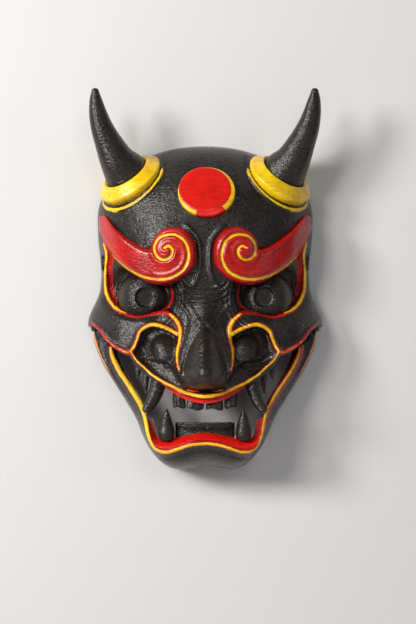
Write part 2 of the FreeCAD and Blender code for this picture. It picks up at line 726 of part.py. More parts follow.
failed = [o.Name for o in doc.Objects if "Invalid" in o.State or "Error" in o.State]
if failed:
    raise RuntimeError(f"these objects failed: {failed}")
os.makedirs("parts", exist_ok=True)
for piece in PIECES:
    shape = piece.Shape
    if shape.isNull() or not shape.isValid() or not shape.Solids:
        raise RuntimeError(f"{piece.Label} has no valid solid")
    print(piece.Label, len(shape.Solids), round(shape.Volume, 1))
    shape.exportStep(f"parts/{piece.Label}.step")
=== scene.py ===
# %% [markdown]
# # A hanging demon mask
# A noh demon mask is a thin carved shell. This one has black lacquer, red and yellow paint, two horns,
# scroll brows, tusks, and a lower jaw that swings on pins behind the cheeks. The solid model gives every
# size and joint. Here each piece gets its carved surface and its finish.

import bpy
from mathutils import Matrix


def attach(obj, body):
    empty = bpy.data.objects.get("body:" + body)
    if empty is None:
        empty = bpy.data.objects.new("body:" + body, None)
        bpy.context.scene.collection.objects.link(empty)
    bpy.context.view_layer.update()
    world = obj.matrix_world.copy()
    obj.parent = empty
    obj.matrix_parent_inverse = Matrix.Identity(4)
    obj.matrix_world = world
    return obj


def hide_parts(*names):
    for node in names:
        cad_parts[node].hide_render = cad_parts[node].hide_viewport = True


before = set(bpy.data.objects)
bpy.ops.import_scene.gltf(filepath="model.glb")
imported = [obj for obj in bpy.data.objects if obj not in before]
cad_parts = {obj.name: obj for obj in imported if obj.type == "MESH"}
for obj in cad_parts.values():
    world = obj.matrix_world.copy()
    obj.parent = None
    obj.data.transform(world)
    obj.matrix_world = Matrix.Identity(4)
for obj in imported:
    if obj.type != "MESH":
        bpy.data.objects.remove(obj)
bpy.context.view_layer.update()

# %% Modules
import math

import bmesh
import bpy
import numpy as np
from mathutils import Matrix, Vector

# %% [markdown]
# ## Measures
# A carver marks everything out from the eye line and the middle line, so the numbers here do too: x to the
# side, z up from the eye line, and depth out of the wall, all in millimetres. `to_frame` turns them into
# metres from the hanging hole, which is 81 mm above the eye line.

# %% Millimetres from the eye line to metres from the hanging hole
HANG = 81.0
SIDES = {"left": -1, "right": 1}


def to_frame(x, depth, z):
    """Columns of x, depth and z become an array of points in the frame."""
    return np.stack([x, -depth, z - HANG], axis=-1) / 1000


def point(x, depth, z):
    return Vector((x, -depth, z - HANG)) / 1000


print("nose height in the frame:", tuple(point(0, 77, -54)))

# %% [markdown]
# ## The dome
# Under every wrinkle is one smooth dome, the same as in the solid model. Its width and its depth are
# written as functions of height, so that every piece which lies on the face can ask how far out it is.

# %% Smooth steps, bumps and the dome
CROWN, DOME, TEMPLE, KNUCKLE = 95.5, 52.0, 71.0, 77.3
SIDE_TOP, BROW_LINE = 52.0, 35.0


def ease(t):
    """0 below 0, 1 above 1 and smooth between."""
    t = np.clip(t, 0, 1)
    return t * t * (3 - 2 * t)


def bump(distance, width):
    """A bell of height 1 about distance 0."""
    return np.exp(-((distance / width) ** 2))


def rounded(z, start, inset):
    """How a section shrinks from a height up to the crown, as a quarter ellipse."""
    share = np.clip((z - start) / (CROWN - inset - start), 0, 1)
    return np.sqrt(1 - share ** 2)


def half_width(z, inset=0.0):
    wide = TEMPLE - 2.5 * bump(z - 15, 18) - inset + (KNUCKLE - TEMPLE) * ease((5 - z) / 23)
    return wide * rounded(z, SIDE_TOP, inset)


def centre_depth(z, inset=0.0):
    return (DOME - inset - 4.5 * bump(z + 8, 22)) * rounded(z, BROW_LINE, inset)


def dome_share(x, z, inset=0.0):
    return np.sqrt(np.clip(1 - (x / np.maximum(half_width(z, inset), 0.01)) ** 2, 0, 1))


def dome_depth(x, z, inset=0.0):
    return centre_depth(z, inset) * dome_share(x, z, inset)


print("forehead depth:", round(float(dome_depth(0.0, 60.0)), 1))

# %% [markdown]
# ## Carved lines
# The mask is drawn with lines: the rims of the sockets and cheeks, the lip, the scrolls. Each is a smooth
# curve through a few marked points. For any spot on the face it gives the distance to the curve, the side
# of it, and how far along it the nearest place is. Carving and painting both use that distance.

# %% Smooth curves that measure their distance
def smooth_line(marks, steps=8):
    """A Catmull-Rom line through the marked points, as an array of points."""
    p = np.array([marks[0]] + list(marks) + [marks[-1]], float)
    t = np.linspace(0, 1, steps, endpoint=False)[:, None]
    parts = []
    for a, b, c, d in zip(p, p[1:], p[2:], p[3:]):
        parts.append(0.5 * (2 * b + (c - a) * t + (2 * a - 5 * b + 4 * c - d) * t ** 2
                            + (3 * b - a - 3 * c + d) * t ** 3))
    return np.vstack(parts + [p[-1:]])


class Line:
    """A curve on the front view that measures where other points are."""

    def __init__(self, marks, steps=8):
        self.points = smooth_line(marks, steps)

    def measure(self, x, z):
        """(distance, side, share): side is positive to the left of the way along, share runs 0 to 1."""
        best, side, share = np.full(x.shape, 1e9), np.ones(x.shape), np.zeros(x.shape)
        count = len(self.points) - 1
        for i, (a, b) in enumerate(zip(self.points, self.points[1:])):
            run = b - a
            length = max(float(run @ run), 1e-9)
            t = np.clip(((x - a[0]) * run[0] + (z - a[1]) * run[1]) / length, 0, 1)
            dx, dz = x - a[0] - t * run[0], z - a[1] - t * run[1]
            far = np.hypot(dx, dz)
            near = far < best
            best = np.where(near, far, best)
            side = np.where(near, np.sign(run[0] * dz - run[1] * dx), side)
            share = np.where(near, (i + t) / count, share)
        return best, side, share

    def distance(self, x, z):
        return self.measure(x, z)[0]

    def place(self, share):
        """The points at shares of the way along, as columns of x and z."""
        spots = np.linspace(0, 1, len(self.points))
        return [np.interp(share, spots, self.points[:, k]) for k in (0, 1)]


SOCKET = Line([(66, 34), (64.2, 27), (65.2, 19), (65.3, 10.5), (64.3, 2.7), (60.4, -4.5), (53.9, -9.6),
               (43.5, -12.7), (34.3, -11.1), (25.8, -10.2), (21.2, -12.4), (17.3, -16.9), (15.7, -22.8),
               (17.3, -33.3), (17.7, -40.3), (16.3, -46.7)])
CHEEK = Line([(73.5, -17.5), (71, -19.6), (67.3, -22.4), (64, -27.5), (59.3, -31.6), (54.8, -33.8),
              (51.2, -35.6), (48.2, -35.6), (45.6, -33), (43.1, -27.5), (40.8, -22.1), (34.3, -18.6),
              (28.4, -19.2), (22.5, -21.5), (17.9, -24.1)])
LIP = Line([(-10, -61.6), (0, -63.4), (10, -61.6), (14.2, -60.2), (21.8, -56.6), (25, -55.2),
            (31.4, -51.4), (34.4, -49.4), (37.8, -46.2), (43.2, -41.4), (46, -37.6), (47.4, -34.5)])
CANTHUS = Line([(23.5, 9), (21.9, 6), (21.0, -0.6), (23.4, -6.4), (27.8, -9.4)])
print("socket line has", len(SOCKET.points), "points")

# %% [markdown]
# ## Sheets of skin
# Every carved skin starts as a flat grid, and its vertices are then pushed to their places, as a sculptor
# pushes clay. The grid is first extruded into a second sheet, so that the skin has a front, a back and a
# closed edge between them. Numbers worked out for the vertices, such as the distance to a painted line, are
# stored on the mesh as attributes, where the paint reads them.

# %% A grid made into a two-sided sheet
def new_piece(name, bm):
    """An object from a bmesh, smooth shaded, in the scene."""
    mesh = bpy.data.meshes.new(name)
    bm.to_mesh(mesh)
    bm.free()
    mesh.shade_smooth()
    obj = bpy.data.objects.new(name, mesh)
    bpy.context.scene.collection.objects.link(obj)
    return obj


def flat_grid(columns, rows):
    """A bmesh grid whose x and y run from -0.5 to 0.5."""
    bm = bmesh.new()
    bmesh.ops.create_grid(bm, x_segments=columns, y_segments=rows, size=0.5)
    return bm


def flat_columns(verts, shift=0.0):
    """The x and y of flat vertices as two columns."""
    return [np.array([vert.co[k] for vert in verts]) + shift for k in (0, 1)]


def put(bm, spots):
    """Moves the vertices of a bmesh to spots in the frame."""
    for vert, spot in zip(bm.verts, spots):
        vert.co = spot
    bmesh.ops.recalc_face_normals(bm, faces=bm.faces[:])


def remove(bm, verts):
    bmesh.ops.delete(bm, geom=verts, context="VERTS")


def doubled(bm):
    """Extrudes the whole sheet and gives back the vertices of the copy."""
    grown = bmesh.ops.extrude_face_region(bm, geom=bm.faces[:], use_keep_orig=True)
    return [item for item in grown["geom"] if isinstance(item, bmesh.types.BMVert)]


def sheet_piece(name, columns, rows, front, back, drop=None):
    """A skin from a grid: front and back turn shares (u, v) into columns of x, depth and z.

    drop tells which of the front's vertices are left out, given x, depth and z."""
    bm = flat_grid(columns, rows)
    if drop is not None:
        gone = drop(*front(*flat_columns(bm.verts, 0.5)))
        remove(bm, [vert for vert, out in zip(bm.verts, gone) if out])
    layer = bm.verts.layers.float.new("back")
    for vert in doubled(bm):
        vert[layer] = 1.0
    u, v = flat_columns(bm.verts, 0.5)
    behind = np.array([vert[layer] for vert in bm.verts]) > 0.5
    put(bm, np.where(behind[:, None], to_frame(*back(u, v)), to_frame(*front(u, v))))
    return new_piece(name, bm)


def store(obj, **columns):
    """Keeps numbers for an object's vertices as attributes that its paint can read."""
    for name, values in columns.items():
        attribute = obj.data.attributes.new(name, "FLOAT", "POINT")
        attribute.data.foreach_set("value", np.asarray(values, np.float32))


def vertices(obj):
    """An object's vertices as columns of x, depth and z from the eye line, in millimetres."""
    flat = np.empty(len(obj.data.vertices) * 3, np.float32)
    obj.data.vertices.foreach_get("co", flat)
    x, y, z = flat.reshape(-1, 3).astype(float).T * 1000
    return x, -y, z + HANG


def move(obj, x, depth, z):
    """Puts an object's vertices at new columns of x, depth and z."""
    obj.data.vertices.foreach_set("co", to_frame(x, depth, z).astype(np.float32).ravel())


# %% [markdown]
# ## The face
# The face is carved in the order in which a carver works: the big masses of nose, brow and muzzle, then the
# sunken sockets, then the raised rims, and last the wrinkles between the brows.

# %% Masses of the face
EYE_X, EYE_DEPTH, EYE_Z, EYE_RADIUS = 38.0, 19.5, -1.0, 19.0


def masses(x, z, inset=0.0):
    """Nose, eye hollows, brow bosses and muzzle, as in the solid model."""
    side = np.abs(x)
    grown = np.clip((2 - z) / 48, 0, 1)
    end = np.sqrt(np.clip(1 - (np.clip(-45 - z, 0, 99) / (14 - inset)) ** 2, 0, 1))
    wide = (6.7 + 7.3 * grown - 0.8 * inset) * (0.6 + 0.4 * end)
    depth = (24 - 0.4 * inset) * grown ** 1.3 * end * np.exp(-np.abs(x / wide) ** 2.05)
    depth -= 9 * ease((1.2 - np.hypot((side - 42) / 24, (z - 3) / 17)) / 0.5)
    depth += 3 * np.exp(-(((side - 30) / 16) ** 2) - ((z - 36) / 14) ** 2)
    depth += 4 * np.exp(-((x / 26) ** 2) - ((z + 60) / 14) ** 2)
    return depth


# %% Horn axes, for the rings that are carved round the horns
HORN_WAY = Vector((0.50, -0.46, 0.73)).normalized()
HORN_ROOT = Vector((49.0, -float(dome_depth(49.0, 77.0)), 77.0))


def horn_distance(x, depth, z):
    """Distance from the nearer horn's axis."""
    across = np.stack([np.abs(x), -depth, z], axis=-1) - np.array(HORN_ROOT)
    way = np.array(HORN_WAY)
    return np.linalg.norm(across - (across @ way)[:, None] * way, axis=-1)


# %% Marks for the folds of the nose and brow
PETAL = Line([(0, -18.9), (4.0, -22.6), (8.2, -30.0), (11.4, -37.6), (13.0, -46.5), (11.4, -51.8),
              (6.4, -55.4), (0, -56.8)])
WING_FOLD = Line([(17.5, 0.5), (15.6, -4.9), (10.8, -10.8), (8.6, -17.1), (10.6, -25.0), (13.8, -34.5),
                  (15.6, -44)])
BRIDGE_FOLD = Line([(11.0, -4.0), (8.2, -9.0), (4.4, -15.9)])
NOSTRIL = Line([(34.5, -40.2), (28.5, -41.2), (23.0, -43.0), (18.2, -47.2), (13.8, -52.6), (9.0, -56.6)])
SCROLL_FOLD = Line([(14.5, 45.4), (9.4, 42.2), (4.6, 36), (3.0, 27.5), (3.3, 17), (6.2, 8.6), (11, 4.5)])
FOLDS = (PETAL, WING_FOLD, BRIDGE_FOLD, NOSTRIL, SCROLL_FOLD)
print("folds:", sum(len(line.points) for line in FOLDS), "points")

# %% Carved detail of the face
CHEEK_BALL = (26.0, -33.0)
LID_FOLD, WRINKLE = 2.5, 3.1


def socket_relief(side, z):
    """The raised rim of the socket, the wall inside it and the folds of the lids."""
    rim, rim_side, along = SOCKET.measure(side, z)
    eyeward = rim * (rim_side < 0)
    wall = ease((side - 15.5) / 7) * ease((0.76 - along) / 0.1) * ease((31 - z) / 5)
    rise = 2.0 * bump(rim, 1.7) - 3.8 * ease(eyeward / 3.2) * wall
    from_eye = np.hypot(side - EYE_X, z - EYE_Z)
    inside = (rim_side < 0) & (along < 0.72) | (side < 30)
    folds = ease((from_eye - 18.2) / 1.5) * ease((26.5 - from_eye) / 3.0) * inside * (side < 60)
    rise += 0.65 * np.cos((from_eye - 19.6) * math.tau / LID_FOLD) * folds * ease((12 - z) / 8)
    return rise


def cheek_relief(side, z):
    """The cheek's rim, the hollow under it, the ball in the hollow and the puffed plate outside it."""
    cheek = CHEEK.distance(side, z)
    edge = np.interp(side, CHEEK.points[::-1, 0], CHEEK.points[::-1, 1])
    below = (z < edge) & (side < 47.5) & (side > 15)
    hollow = 6.2 * ease((cheek - 0.6) / 2.0) * np.exp(-((cheek / 13) ** 2)) * below
    hollow *= ease((LIP.distance(side, z) - 0.5) / 8)
    rise = 2.2 * bump(cheek, 1.8) * (side > 17) - hollow * ease((side - 15) / 5)
    ball = np.hypot((side - CHEEK_BALL[0]) / 8.2, (z - CHEEK_BALL[1]) / 9.0)
    rise += 4.8 * np.clip(1 - ball ** 2, 0, 1) ** 0.7
    rise += 1.8 * np.exp(-(((side - 57) / 9) ** 2) - ((z + 21) / 7) ** 2)
    return rise


def nose_relief(side, z):
    """The petal of the nose, the folds beside it and the undercut below the nostrils."""
    petal, petal_side, along = PETAL.measure(side, z)
    crease = 1.5 * bump(petal, 1.35) * (1 - 0.7 * ease((along - 0.6) / 0.2))
    rise = 1.6 * ease(petal * (petal_side < 0) / 6.0) - crease
    rise += 1.2 * bump(WING_FOLD.distance(side, z), 1.5) + 0.8 * bump(BRIDGE_FOLD.distance(side, z), 1.2)
    nostril, nostril_side, _ = NOSTRIL.measure(side, z)
    under = nostril * (nostril_side > 0)
    rise -= 2.6 * ease(under / 2.2) * np.exp(-((under / 7) ** 2))
    rise += 0.9 * bump(nostril * (nostril_side < 0) - 1.5, 1.3) * (nostril_side < 0)
    rise -= 2.4 * np.exp(-(((side - 23.4) / 2.8) ** 2) - ((z + 43.9 - 0.35 * (side - 23.4)) / 0.95) ** 2)
    return rise


def brow_relief(x, z):
    """The fold round each scroll and the wrinkles across the root of the nose."""
    side = np.abs(x)
    fold, _, way = SCROLL_FOLD.measure(side, z)
    rise = 1.4 * bump(fold, 1.25) * ease(way / 0.15) * ease((1 - way) / 0.15)
    ring = np.hypot(x, (z - 24) * 0.94) + 0.5 * np.sin(side * 0.35 + 1)
    window = ease((31.5 - ring) / 3) * ease((ring - 15) / 4) * ease((11 - z) / 5) * ease((18.5 - side) / 4)
    return rise + (0.4 + 0.6 * ease((side - 3) / 6)) * np.cos(ring * math.tau / WRINKLE) * window


def detail(x, z, depth):
    """All the carving, as height above the masses."""
    side = np.abs(x)
    rise = socket_relief(side, z) + cheek_relief(side, z) + nose_relief(side, z) + brow_relief(x, z)
    rise += 1.8 * bump(LIP.distance(side, z), 2.0) - 2.6 * bump(x, 15) * bump(z + 59.4, 1.7)
    rise += 1.2 * bump(CANTHUS.distance(side, z), 1.2)
    return rise + 1.5 * ease((25.0 - horn_distance(x, depth, z)) / 1.3)


# %% The face shell
LOWER = np.array([(0, -65), (8, -64.3), (16, -62), (25, -57.8), (34.4, -52.5), (43, -46), (48, -38.5),
                  (52, -36.8), (56, -35), (60, -32), (64.5, -28), (68, -23.5), (71.5, -20.2), (74, -19.4),
                  (75.5, -19.6), (77.3, -19.8)])
EYE_OPENING = 18.4
FACE_WALL, LEAST_WALL = 3.0, 1.4
ROWS = np.array([(0, 0), (0.01, 0.001), (0.025, 0.006), (0.06, 0.03), (0.21, 0.29), (1, 1)])
CROWN_LIFT, CROWN_GAP = 3.6, 0.006


def raised(z):
    """A height on the dome, raised near the crown."""
    return z + CROWN_LIFT * ease((z - 76) / 18)


def face_point(u, v, inset):
    """Where the share (u, v) of the face lies: u runs from side to side and v from crown to lower edge.

    ROWS spaces the rows closely at the crown and over the carving, and widely over the plain forehead. The
    inner sheet is smooth, except where a deep cut would leave less than LEAST_WALL."""
    s = 2 * u - 1
    angle = math.pi / 2 * (0.7 * s + 0.3 * s ** 3)
    bottom = np.interp(np.abs(KNUCKLE * np.sin(angle)), LOWER[:, 0], LOWER[:, 1])
    top = CROWN - inset - CROWN_GAP
    z = top + (bottom - top) * np.interp(v, ROWS[:, 0], ROWS[:, 1])
    x = half_width(z, inset) * np.sin(angle)
    share = np.cos(angle)
    depth = centre_depth(z, inset) * share
    carving = detail(x, z, depth)
    relief = masses(x, z, inset) + (carving if inset == 0 else np.minimum(carving + LEAST_WALL, 0))
    return x, depth + relief * np.clip(share * 2.5, 0, 1), raised(z)


def in_eyeball(x, depth, z):
    return (np.abs(x) - EYE_X) ** 2 + (depth - EYE_DEPTH) ** 2 + (z - EYE_Z) ** 2 < EYE_OPENING ** 2


face = sheet_piece("face_skin", 228, 206, lambda u, v: face_point(u, v, 0.0),
                   lambda u, v: face_point(u, v, FACE_WALL), drop=in_eyeball)
print("face:", len(face.data.polygons), "faces")

# %% [markdown]
# ## Paint lines
# The painter follows the carved rims with a fine brush. For each vertex the script stores how deep it lies
# inside a stripe of paint: above zero is painted and below is bare. A stripe's width changes along its line,
# so it is given at a few shares of the way. The back of the shell is never painted.

# %% Depth inside a stripe of paint
BARE = -9.0
LIP_MIDDLE = 8


def stripe(distance, along, widths):
    """Half width of the stripe at each place along its line, less the distance from the line."""
    shares, halves = zip(*widths)
    return np.interp(along, shares, halves) - distance


def only(inside, values):
    return np.where(inside, values, BARE)


class Brush:
    """Measures lines over a skin in depth too, so that a stripe keeps its width where the skin is steep."""

    def __init__(self, obj):
        self.obj = obj
        self.x, self.depth, self.z = vertices(obj)
        self.side = np.abs(self.x)
        back = np.empty(len(self.x), np.float32)
        obj.data.attributes["back"].data.foreach_get("value", back)
        self.front = back < 0.5
        self.paints = dict(gold=np.full(len(back), BARE), red=np.full(len(back), BARE))

    def measure(self, line):
        far, line_side, share = line.measure(self.side, self.z)
        x, depth, z = (column[self.front] for column in (self.side, self.depth, self.z))
        under = [depth[np.argsort((x - px) ** 2 + (z - pz) ** 2)[:4]].mean() for px, pz in line.points]
        drop = self.depth - np.interp(share, np.linspace(0, 1, len(under)), under)
        return np.hypot(far, 0.7 * drop), line_side, share

    def paint(self, colour, values):
        """Adds paint of a colour, given as depth inside its edge."""
        self.paints[colour] = np.maximum(self.paints[colour], values)

    def store(self, where):
        """Keeps both paints where the skin is painted at all."""
        store(self.obj, **{colour: only(where, values) for colour, values in self.paints.items()})


def face_paint(obj):
    brush = Brush(obj)
    x, depth, z, side = brush.x, brush.depth, brush.z, brush.side
    front = brush.front & (dome_share(x, z) > 0.1)
    rim, rim_side, along = brush.measure(SOCKET)
    paint = brush.paint
    paint("gold", stripe(rim, along, [(0, 0.9), (0.1, 1.25), (0.36, 1.25), (0.42, 0.7), (0.47, BARE),
                                      (0.6, BARE), (0.64, 0.6), (0.72, 1.2), (0.85, 1.1), (1, 0.3)]))
    paint("red", stripe(rim, along, [(0, 1.4), (0.1, 1.9), (0.4, 2.0), (0.6, 1.7), (0.75, 2.2), (1, 1.1)]))
    eyeward = rim * (rim_side < 0)
    paint("red", only((eyeward > 0) & (along < 0.42), 5.6 - eyeward))
    cheek, _, way = brush.measure(CHEEK)
    paint("gold", stripe(cheek, way, [(0, BARE), (0.2, 0.15), (0.5, 0.35), (0.58, 0.8), (0.7, 1.1),
                                      (0.8, 1.5), (1, 1.4)]))
    paint("red", stripe(cheek, way, [(0, 1.0), (0.3, 1.4), (0.55, 1.9), (0.7, 2.1), (1, 2.3)]))
    lip, _, lip_way = brush.measure(LIP)
    paint("gold", stripe(lip, lip_way, [(0, 1.1), (0.4, 0.85), (0.7, 0.55), (1, 0.2)]))
    paint("red", stripe(lip, lip_way, [(0, 1.8), (0.4, 1.4), (0.7, 0.95), (1, 0.8)]))
    rightwards = LIP.points[LIP_MIDDLE:]
    lip_height = np.interp(side, rightwards[:, 0], rightwards[:, 1])
    paint("red", only(z < lip_height, (26 - side) / 4))
    paint("red", 1.1 - brush.measure(CANTHUS)[0])
    ring = horn_distance(x, depth, z)
    paint("gold", 0.75 - np.abs(ring - 24.0) - 1.2 * ease((z - 80) / 6))
    brush.store(front)


face_paint(face)

# %% [markdown]
# ## Finishes
# All the finishes are worked out from the piece's own coordinates. Black lacquer shows the fine build lines
# under it and broken highlights; the red and yellow are brushed enamel, so they get strokes, a little
# streaky colour and a glossy coat. Shader maths is written with a small class, so that it reads like maths.

# %% Maths on shader sockets
class Signal:
    """A value in a shader. Operators on it add Math nodes."""

    def __init__(self, finish, socket):
        self.finish, self.socket = finish, socket

    def math(self, operation, other):
        return self.finish.node("ShaderNodeMath", dict(operation=operation), **{"0": self, "1": other})

    def __add__(self, other): return self.math("ADD", other)
    def __radd__(self, other): return self.math("ADD", other)
    def __sub__(self, other): return self.math("SUBTRACT", other)
    def __mul__(self, other): return self.math("MULTIPLY", other)
    def __rmul__(self, other): return self.math("MULTIPLY", other)

    def sharpen(self, low, high):
        """0 below low, 1 above high and straight between."""
        return self.finish.node("ShaderNodeMapRange", dict(clamp=True),
                                **{"Value": self, "From Min": low, "From Max": high})


class Finish:
    """A material on the Principled shader, built node by node."""

    def __init__(self, name, **constants):
        self.material = bpy.data.materials.new(name)
        self.material.use_nodes = True
        self.tree = self.material.node_tree
        self.shader = self.tree.nodes["Principled BSDF"]
        for key, value in constants.items():
            self.shader.inputs[key.replace("_", " ")].default_value = value

    def node(self, kind, settings=None, output=0, **inputs):
        """Adds a node: its settings first, then the values and links of its inputs, by name or number."""
        node = self.tree.nodes.new(kind)
        for key, value in (settings or {}).items():
            setattr(node, key, value)
        for key, value in inputs.items():
            socket = node.inputs[int(key)] if key.isdigit() else node.inputs[key]
            self.feed(value, socket)
        return Signal(self, node.outputs[output])

    def feed(self, value, socket):
        if isinstance(value, Signal):
            self.tree.links.new(value.socket, socket)
        else:
            socket.default_value = value

    def attribute(self, name):
        return self.node("ShaderNodeAttribute", dict(attribute_name=name), output="Fac")

    def place(self, stretch=(1, 1, 1)):
        """The piece's own coordinates, stretched."""
        spot = self.node("ShaderNodeTexCoord", output="Object")
        return self.node("ShaderNodeMapping", Vector=spot, Scale=stretch)

    def noise(self, where, scale, detail=2.0, rough=0.5):
        return self.node("ShaderNodeTexNoise", Vector=where, Scale=scale, Detail=detail, Roughness=rough)

    def mix(self, share, low, high):
        return self.node("ShaderNodeMix", dict(data_type="RGBA"), output=2,
                         **{"0": share, "6": low, "7": high})

    def relief(self, height, distance, strength):
        return self.node("ShaderNodeBump", Height=height, Distance=distance, Strength=strength)

    def finish(self, **links):
        for key, value in links.items():
            self.feed(value, self.shader.inputs[key.replace("_", " ")])
        return self.material


# %% Colours of the lacquer and the paints
BLACK, BLACK_WORN = (0.0075, 0.0056, 0.0044, 1), (0.022, 0.016, 0.011, 1)
RED, RED_DEEP = (0.50, 0.004, 0.002, 1), (0.20, 0.0015, 0.001, 1)
RED_BRIGHT = (0.70, 0.009, 0.003, 1)
GOLD, GOLD_DEEP = (0.88, 0.62, 0.004, 1), (0.62, 0.26, 0.004, 1)


def lacquer_parts(finish):
    """(colour, roughness, normal) of brushed black lacquer over fine build lines."""
    patches = finish.noise(finish.place(), 60.0, 4.0)
    grain = finish.noise(finish.place((1, 1, 1.6)), 560.0, 2.0, 0.6)
    brush = finish.noise(finish.place((1, 1, 3.2)), 260.0, 2.0, 0.6)
    lines = finish.node("ShaderNodeTexWave", dict(wave_type="BANDS", bands_direction="Z"),
                        Vector=finish.place(), Scale=420.0, Distortion=1.2, Detail=1.0)
    colour = finish.mix((patches * 0.6 + grain * 0.6).sharpen(0.52, 0.85), BLACK, BLACK_WORN)
    rough = 0.15 + 0.14 * patches + 0.10 * grain
    normal = finish.relief(grain + brush * 0.7 + lines * 0.15, 0.0006, 0.7)
    return colour, rough, normal


def paint_parts(finish, pale, deep):
    """(colour, roughness, normal) of brushed enamel with strokes along the x axis."""
    strokes = finish.noise(finish.place((0.22, 1, 1.3)), 700.0, 3.0, 0.55)
    pools = finish.noise(finish.place(), 90.0, 2.0)
    colour = finish.mix((strokes * 0.6 + pools * 0.6).sharpen(0.35, 0.75), deep, pale)
    rough = 0.20 + 0.18 * strokes
    normal = finish.relief(strokes + pools * 0.5, 0.0004, 0.6)
    return colour, rough, normal


def surface(finish, parts):
    return finish.finish(**dict(zip(("Base_Color", "Roughness", "Normal"), parts)))


def black_lacquer(name):
    finish = Finish(name, IOR=1.5)
    return surface(finish, lacquer_parts(finish))


def enamel(name, pale, deep):
    finish = Finish(name, IOR=1.5, Coat_Weight=0.2, Coat_Roughness=0.25)
    return surface(finish, paint_parts(finish, pale, deep))


def striped(name, on_lacquer=False, pale=RED, deep=RED_DEEP):
    """Lacquer or red enamel with the stripes that the piece's own red and gold attributes give."""
    finish = Finish(name, IOR=1.5)
    waver = finish.noise(finish.place(), 330.0, 2.0) - 0.5
    gold_in = (finish.attribute("gold") + waver * 0.9).sharpen(-0.10, 0.14)
    gold = paint_parts(finish, GOLD, GOLD_DEEP)[0]
    colour, rough, normal = paint_parts(finish, pale, deep)
    if on_lacquer:
        red_in = (finish.attribute("red") + waver * 1.1).sharpen(-0.08, 0.12)
        black, black_rough, normal = lacquer_parts(finish)
        colour = finish.mix(red_in, black, colour)
        rough = black_rough + red_in.math("MAXIMUM", gold_in) * (rough - black_rough)
    return surface(finish, (finish.mix(gold_in, colour, gold), rough, normal))


LACQUER = black_lacquer("brushed_lacquer")
RED_ENAMEL = enamel("red_enamel", RED_BRIGHT, RED)
GOLD_ENAMEL = enamel("yellow_enamel", GOLD, GOLD_DEEP)
STRIPED_LACQUER = striped("striped_lacquer", on_lacquer=True)
STRIPED_RED = striped("striped_red")
STRIPED_BRIGHT = striped("striped_bright_red", pale=RED_BRIGHT, deep=RED)


def coat(obj, material):
    """Puts one finish on an object in place of any that it has."""
    obj.data.materials.clear()
    obj.data.materials.append(material)


def dress(obj, material, *nodes):
    """Gives a piece its finish, its body and the parts of the solid model that it stands for."""
    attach(obj, "jaw" if nodes[0].startswith(("jaw", "lower")) else "face")
    coat(obj, material)
    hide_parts(*nodes)
    return obj


dress(face, STRIPED_LACQUER, "face_shell")

# %% [markdown]
# ## The jaw
# The jaw is one band that starts at a knuckle under each cheek and runs down and round the chin. In
# section it rolls from the mouth's edge over to a rim near the wall. It is the same grid idea as the face:
# one way of the grid runs from knuckle to knuckle, the other rolls from the mouth to the back.

# %% The jaw's band
JAW = np.array([(58.5, -24.5, 73.4, -22.5, 12.0), (57.5, -33, 72.6, -31, 19.0), (53, -46, 67.0, -44.6, 26.0),
                (46.5, -57, 59.4, -56.8, 31.0), (40, -68, 51.3, -69.6, 35.0), (37, -78, 45, -80.2, 39.0),
                (35, -88, 41, -90, 43.0), (32, -94.5, 35.5, -100, 46.0), (26, -96.8, 27.5, -109, 48.0),
                (18, -95.3, 18, -113, 49.0), (8, -91.8, 9, -112, 50.0), (0, -91, 0, -111, 50.0)])
JAW_REST = 2.0
LOWER_LIP = Line([(61.5, -33), (60.2, -38.8), (55.4, -48.3), (48.5, -58.2), (41.4, -69.6), (38.6, -77),
                  (36.4, -88), (33.4, -95.4), (28.6, -98.6), (23, -98.8), (18, -97.2), (9.5, -94.4),
                  (0, -93.4), (-10, -94.4)])
JAW_RIM = Line([(73.2, -22), (72.6, -26.5), (70.2, -34), (66.9, -41), (61.2, -51), (55.4, -62),
                (50.2, -72.6), (46, -80)])


def jaw_profile(u):
    """Mouth edge, outer edge and depth at shares u of the way from the left knuckle to the right one."""
    whole = np.vstack([JAW * np.array([-1, 1, -1, 1, 1]), JAW[-2::-1]])
    fine = smooth_line(whole, 12)
    spots = np.linspace(0, 1, len(fine))
    return [np.interp(u, spots, fine[:, k]) for k in range(5)]


def jaw_point(u, v, inset):
    """Where the share (u, v) of the jaw lies: v rolls from the mouth's edge (0) to the back rim (1)."""
    mx, mz, ox, oz, deep = jaw_profile(u)
    wide = np.hypot(ox - mx, oz - mz)
    roll = math.pi / 2 * v
    reach = np.sin(roll) * (wide - inset) / wide
    x, z = mx + (ox - mx) * reach, mz + (oz - mz) * reach
    front = np.cos(roll) ** 0.75 * (v < 0.9999)
    depth = JAW_REST + (deep - inset - JAW_REST) * front
    if inset == 0:
        lip, rim = (line.distance(np.abs(x), z) for line in (LOWER_LIP, JAW_RIM))
        flat = np.clip(1.6 * front, 0, 1)
        depth = depth + (1.5 * bump(lip, 1.9) - 1.0 * bump(lip - 4.2, 1.6)) * flat
        depth = depth + 1.2 * bump(rim, 1.6) * (np.abs(x) > 44) * flat
        depth = depth - 1.2 * bump(x, 7) * bump(z + 106, 6) * flat
    return x, depth, z


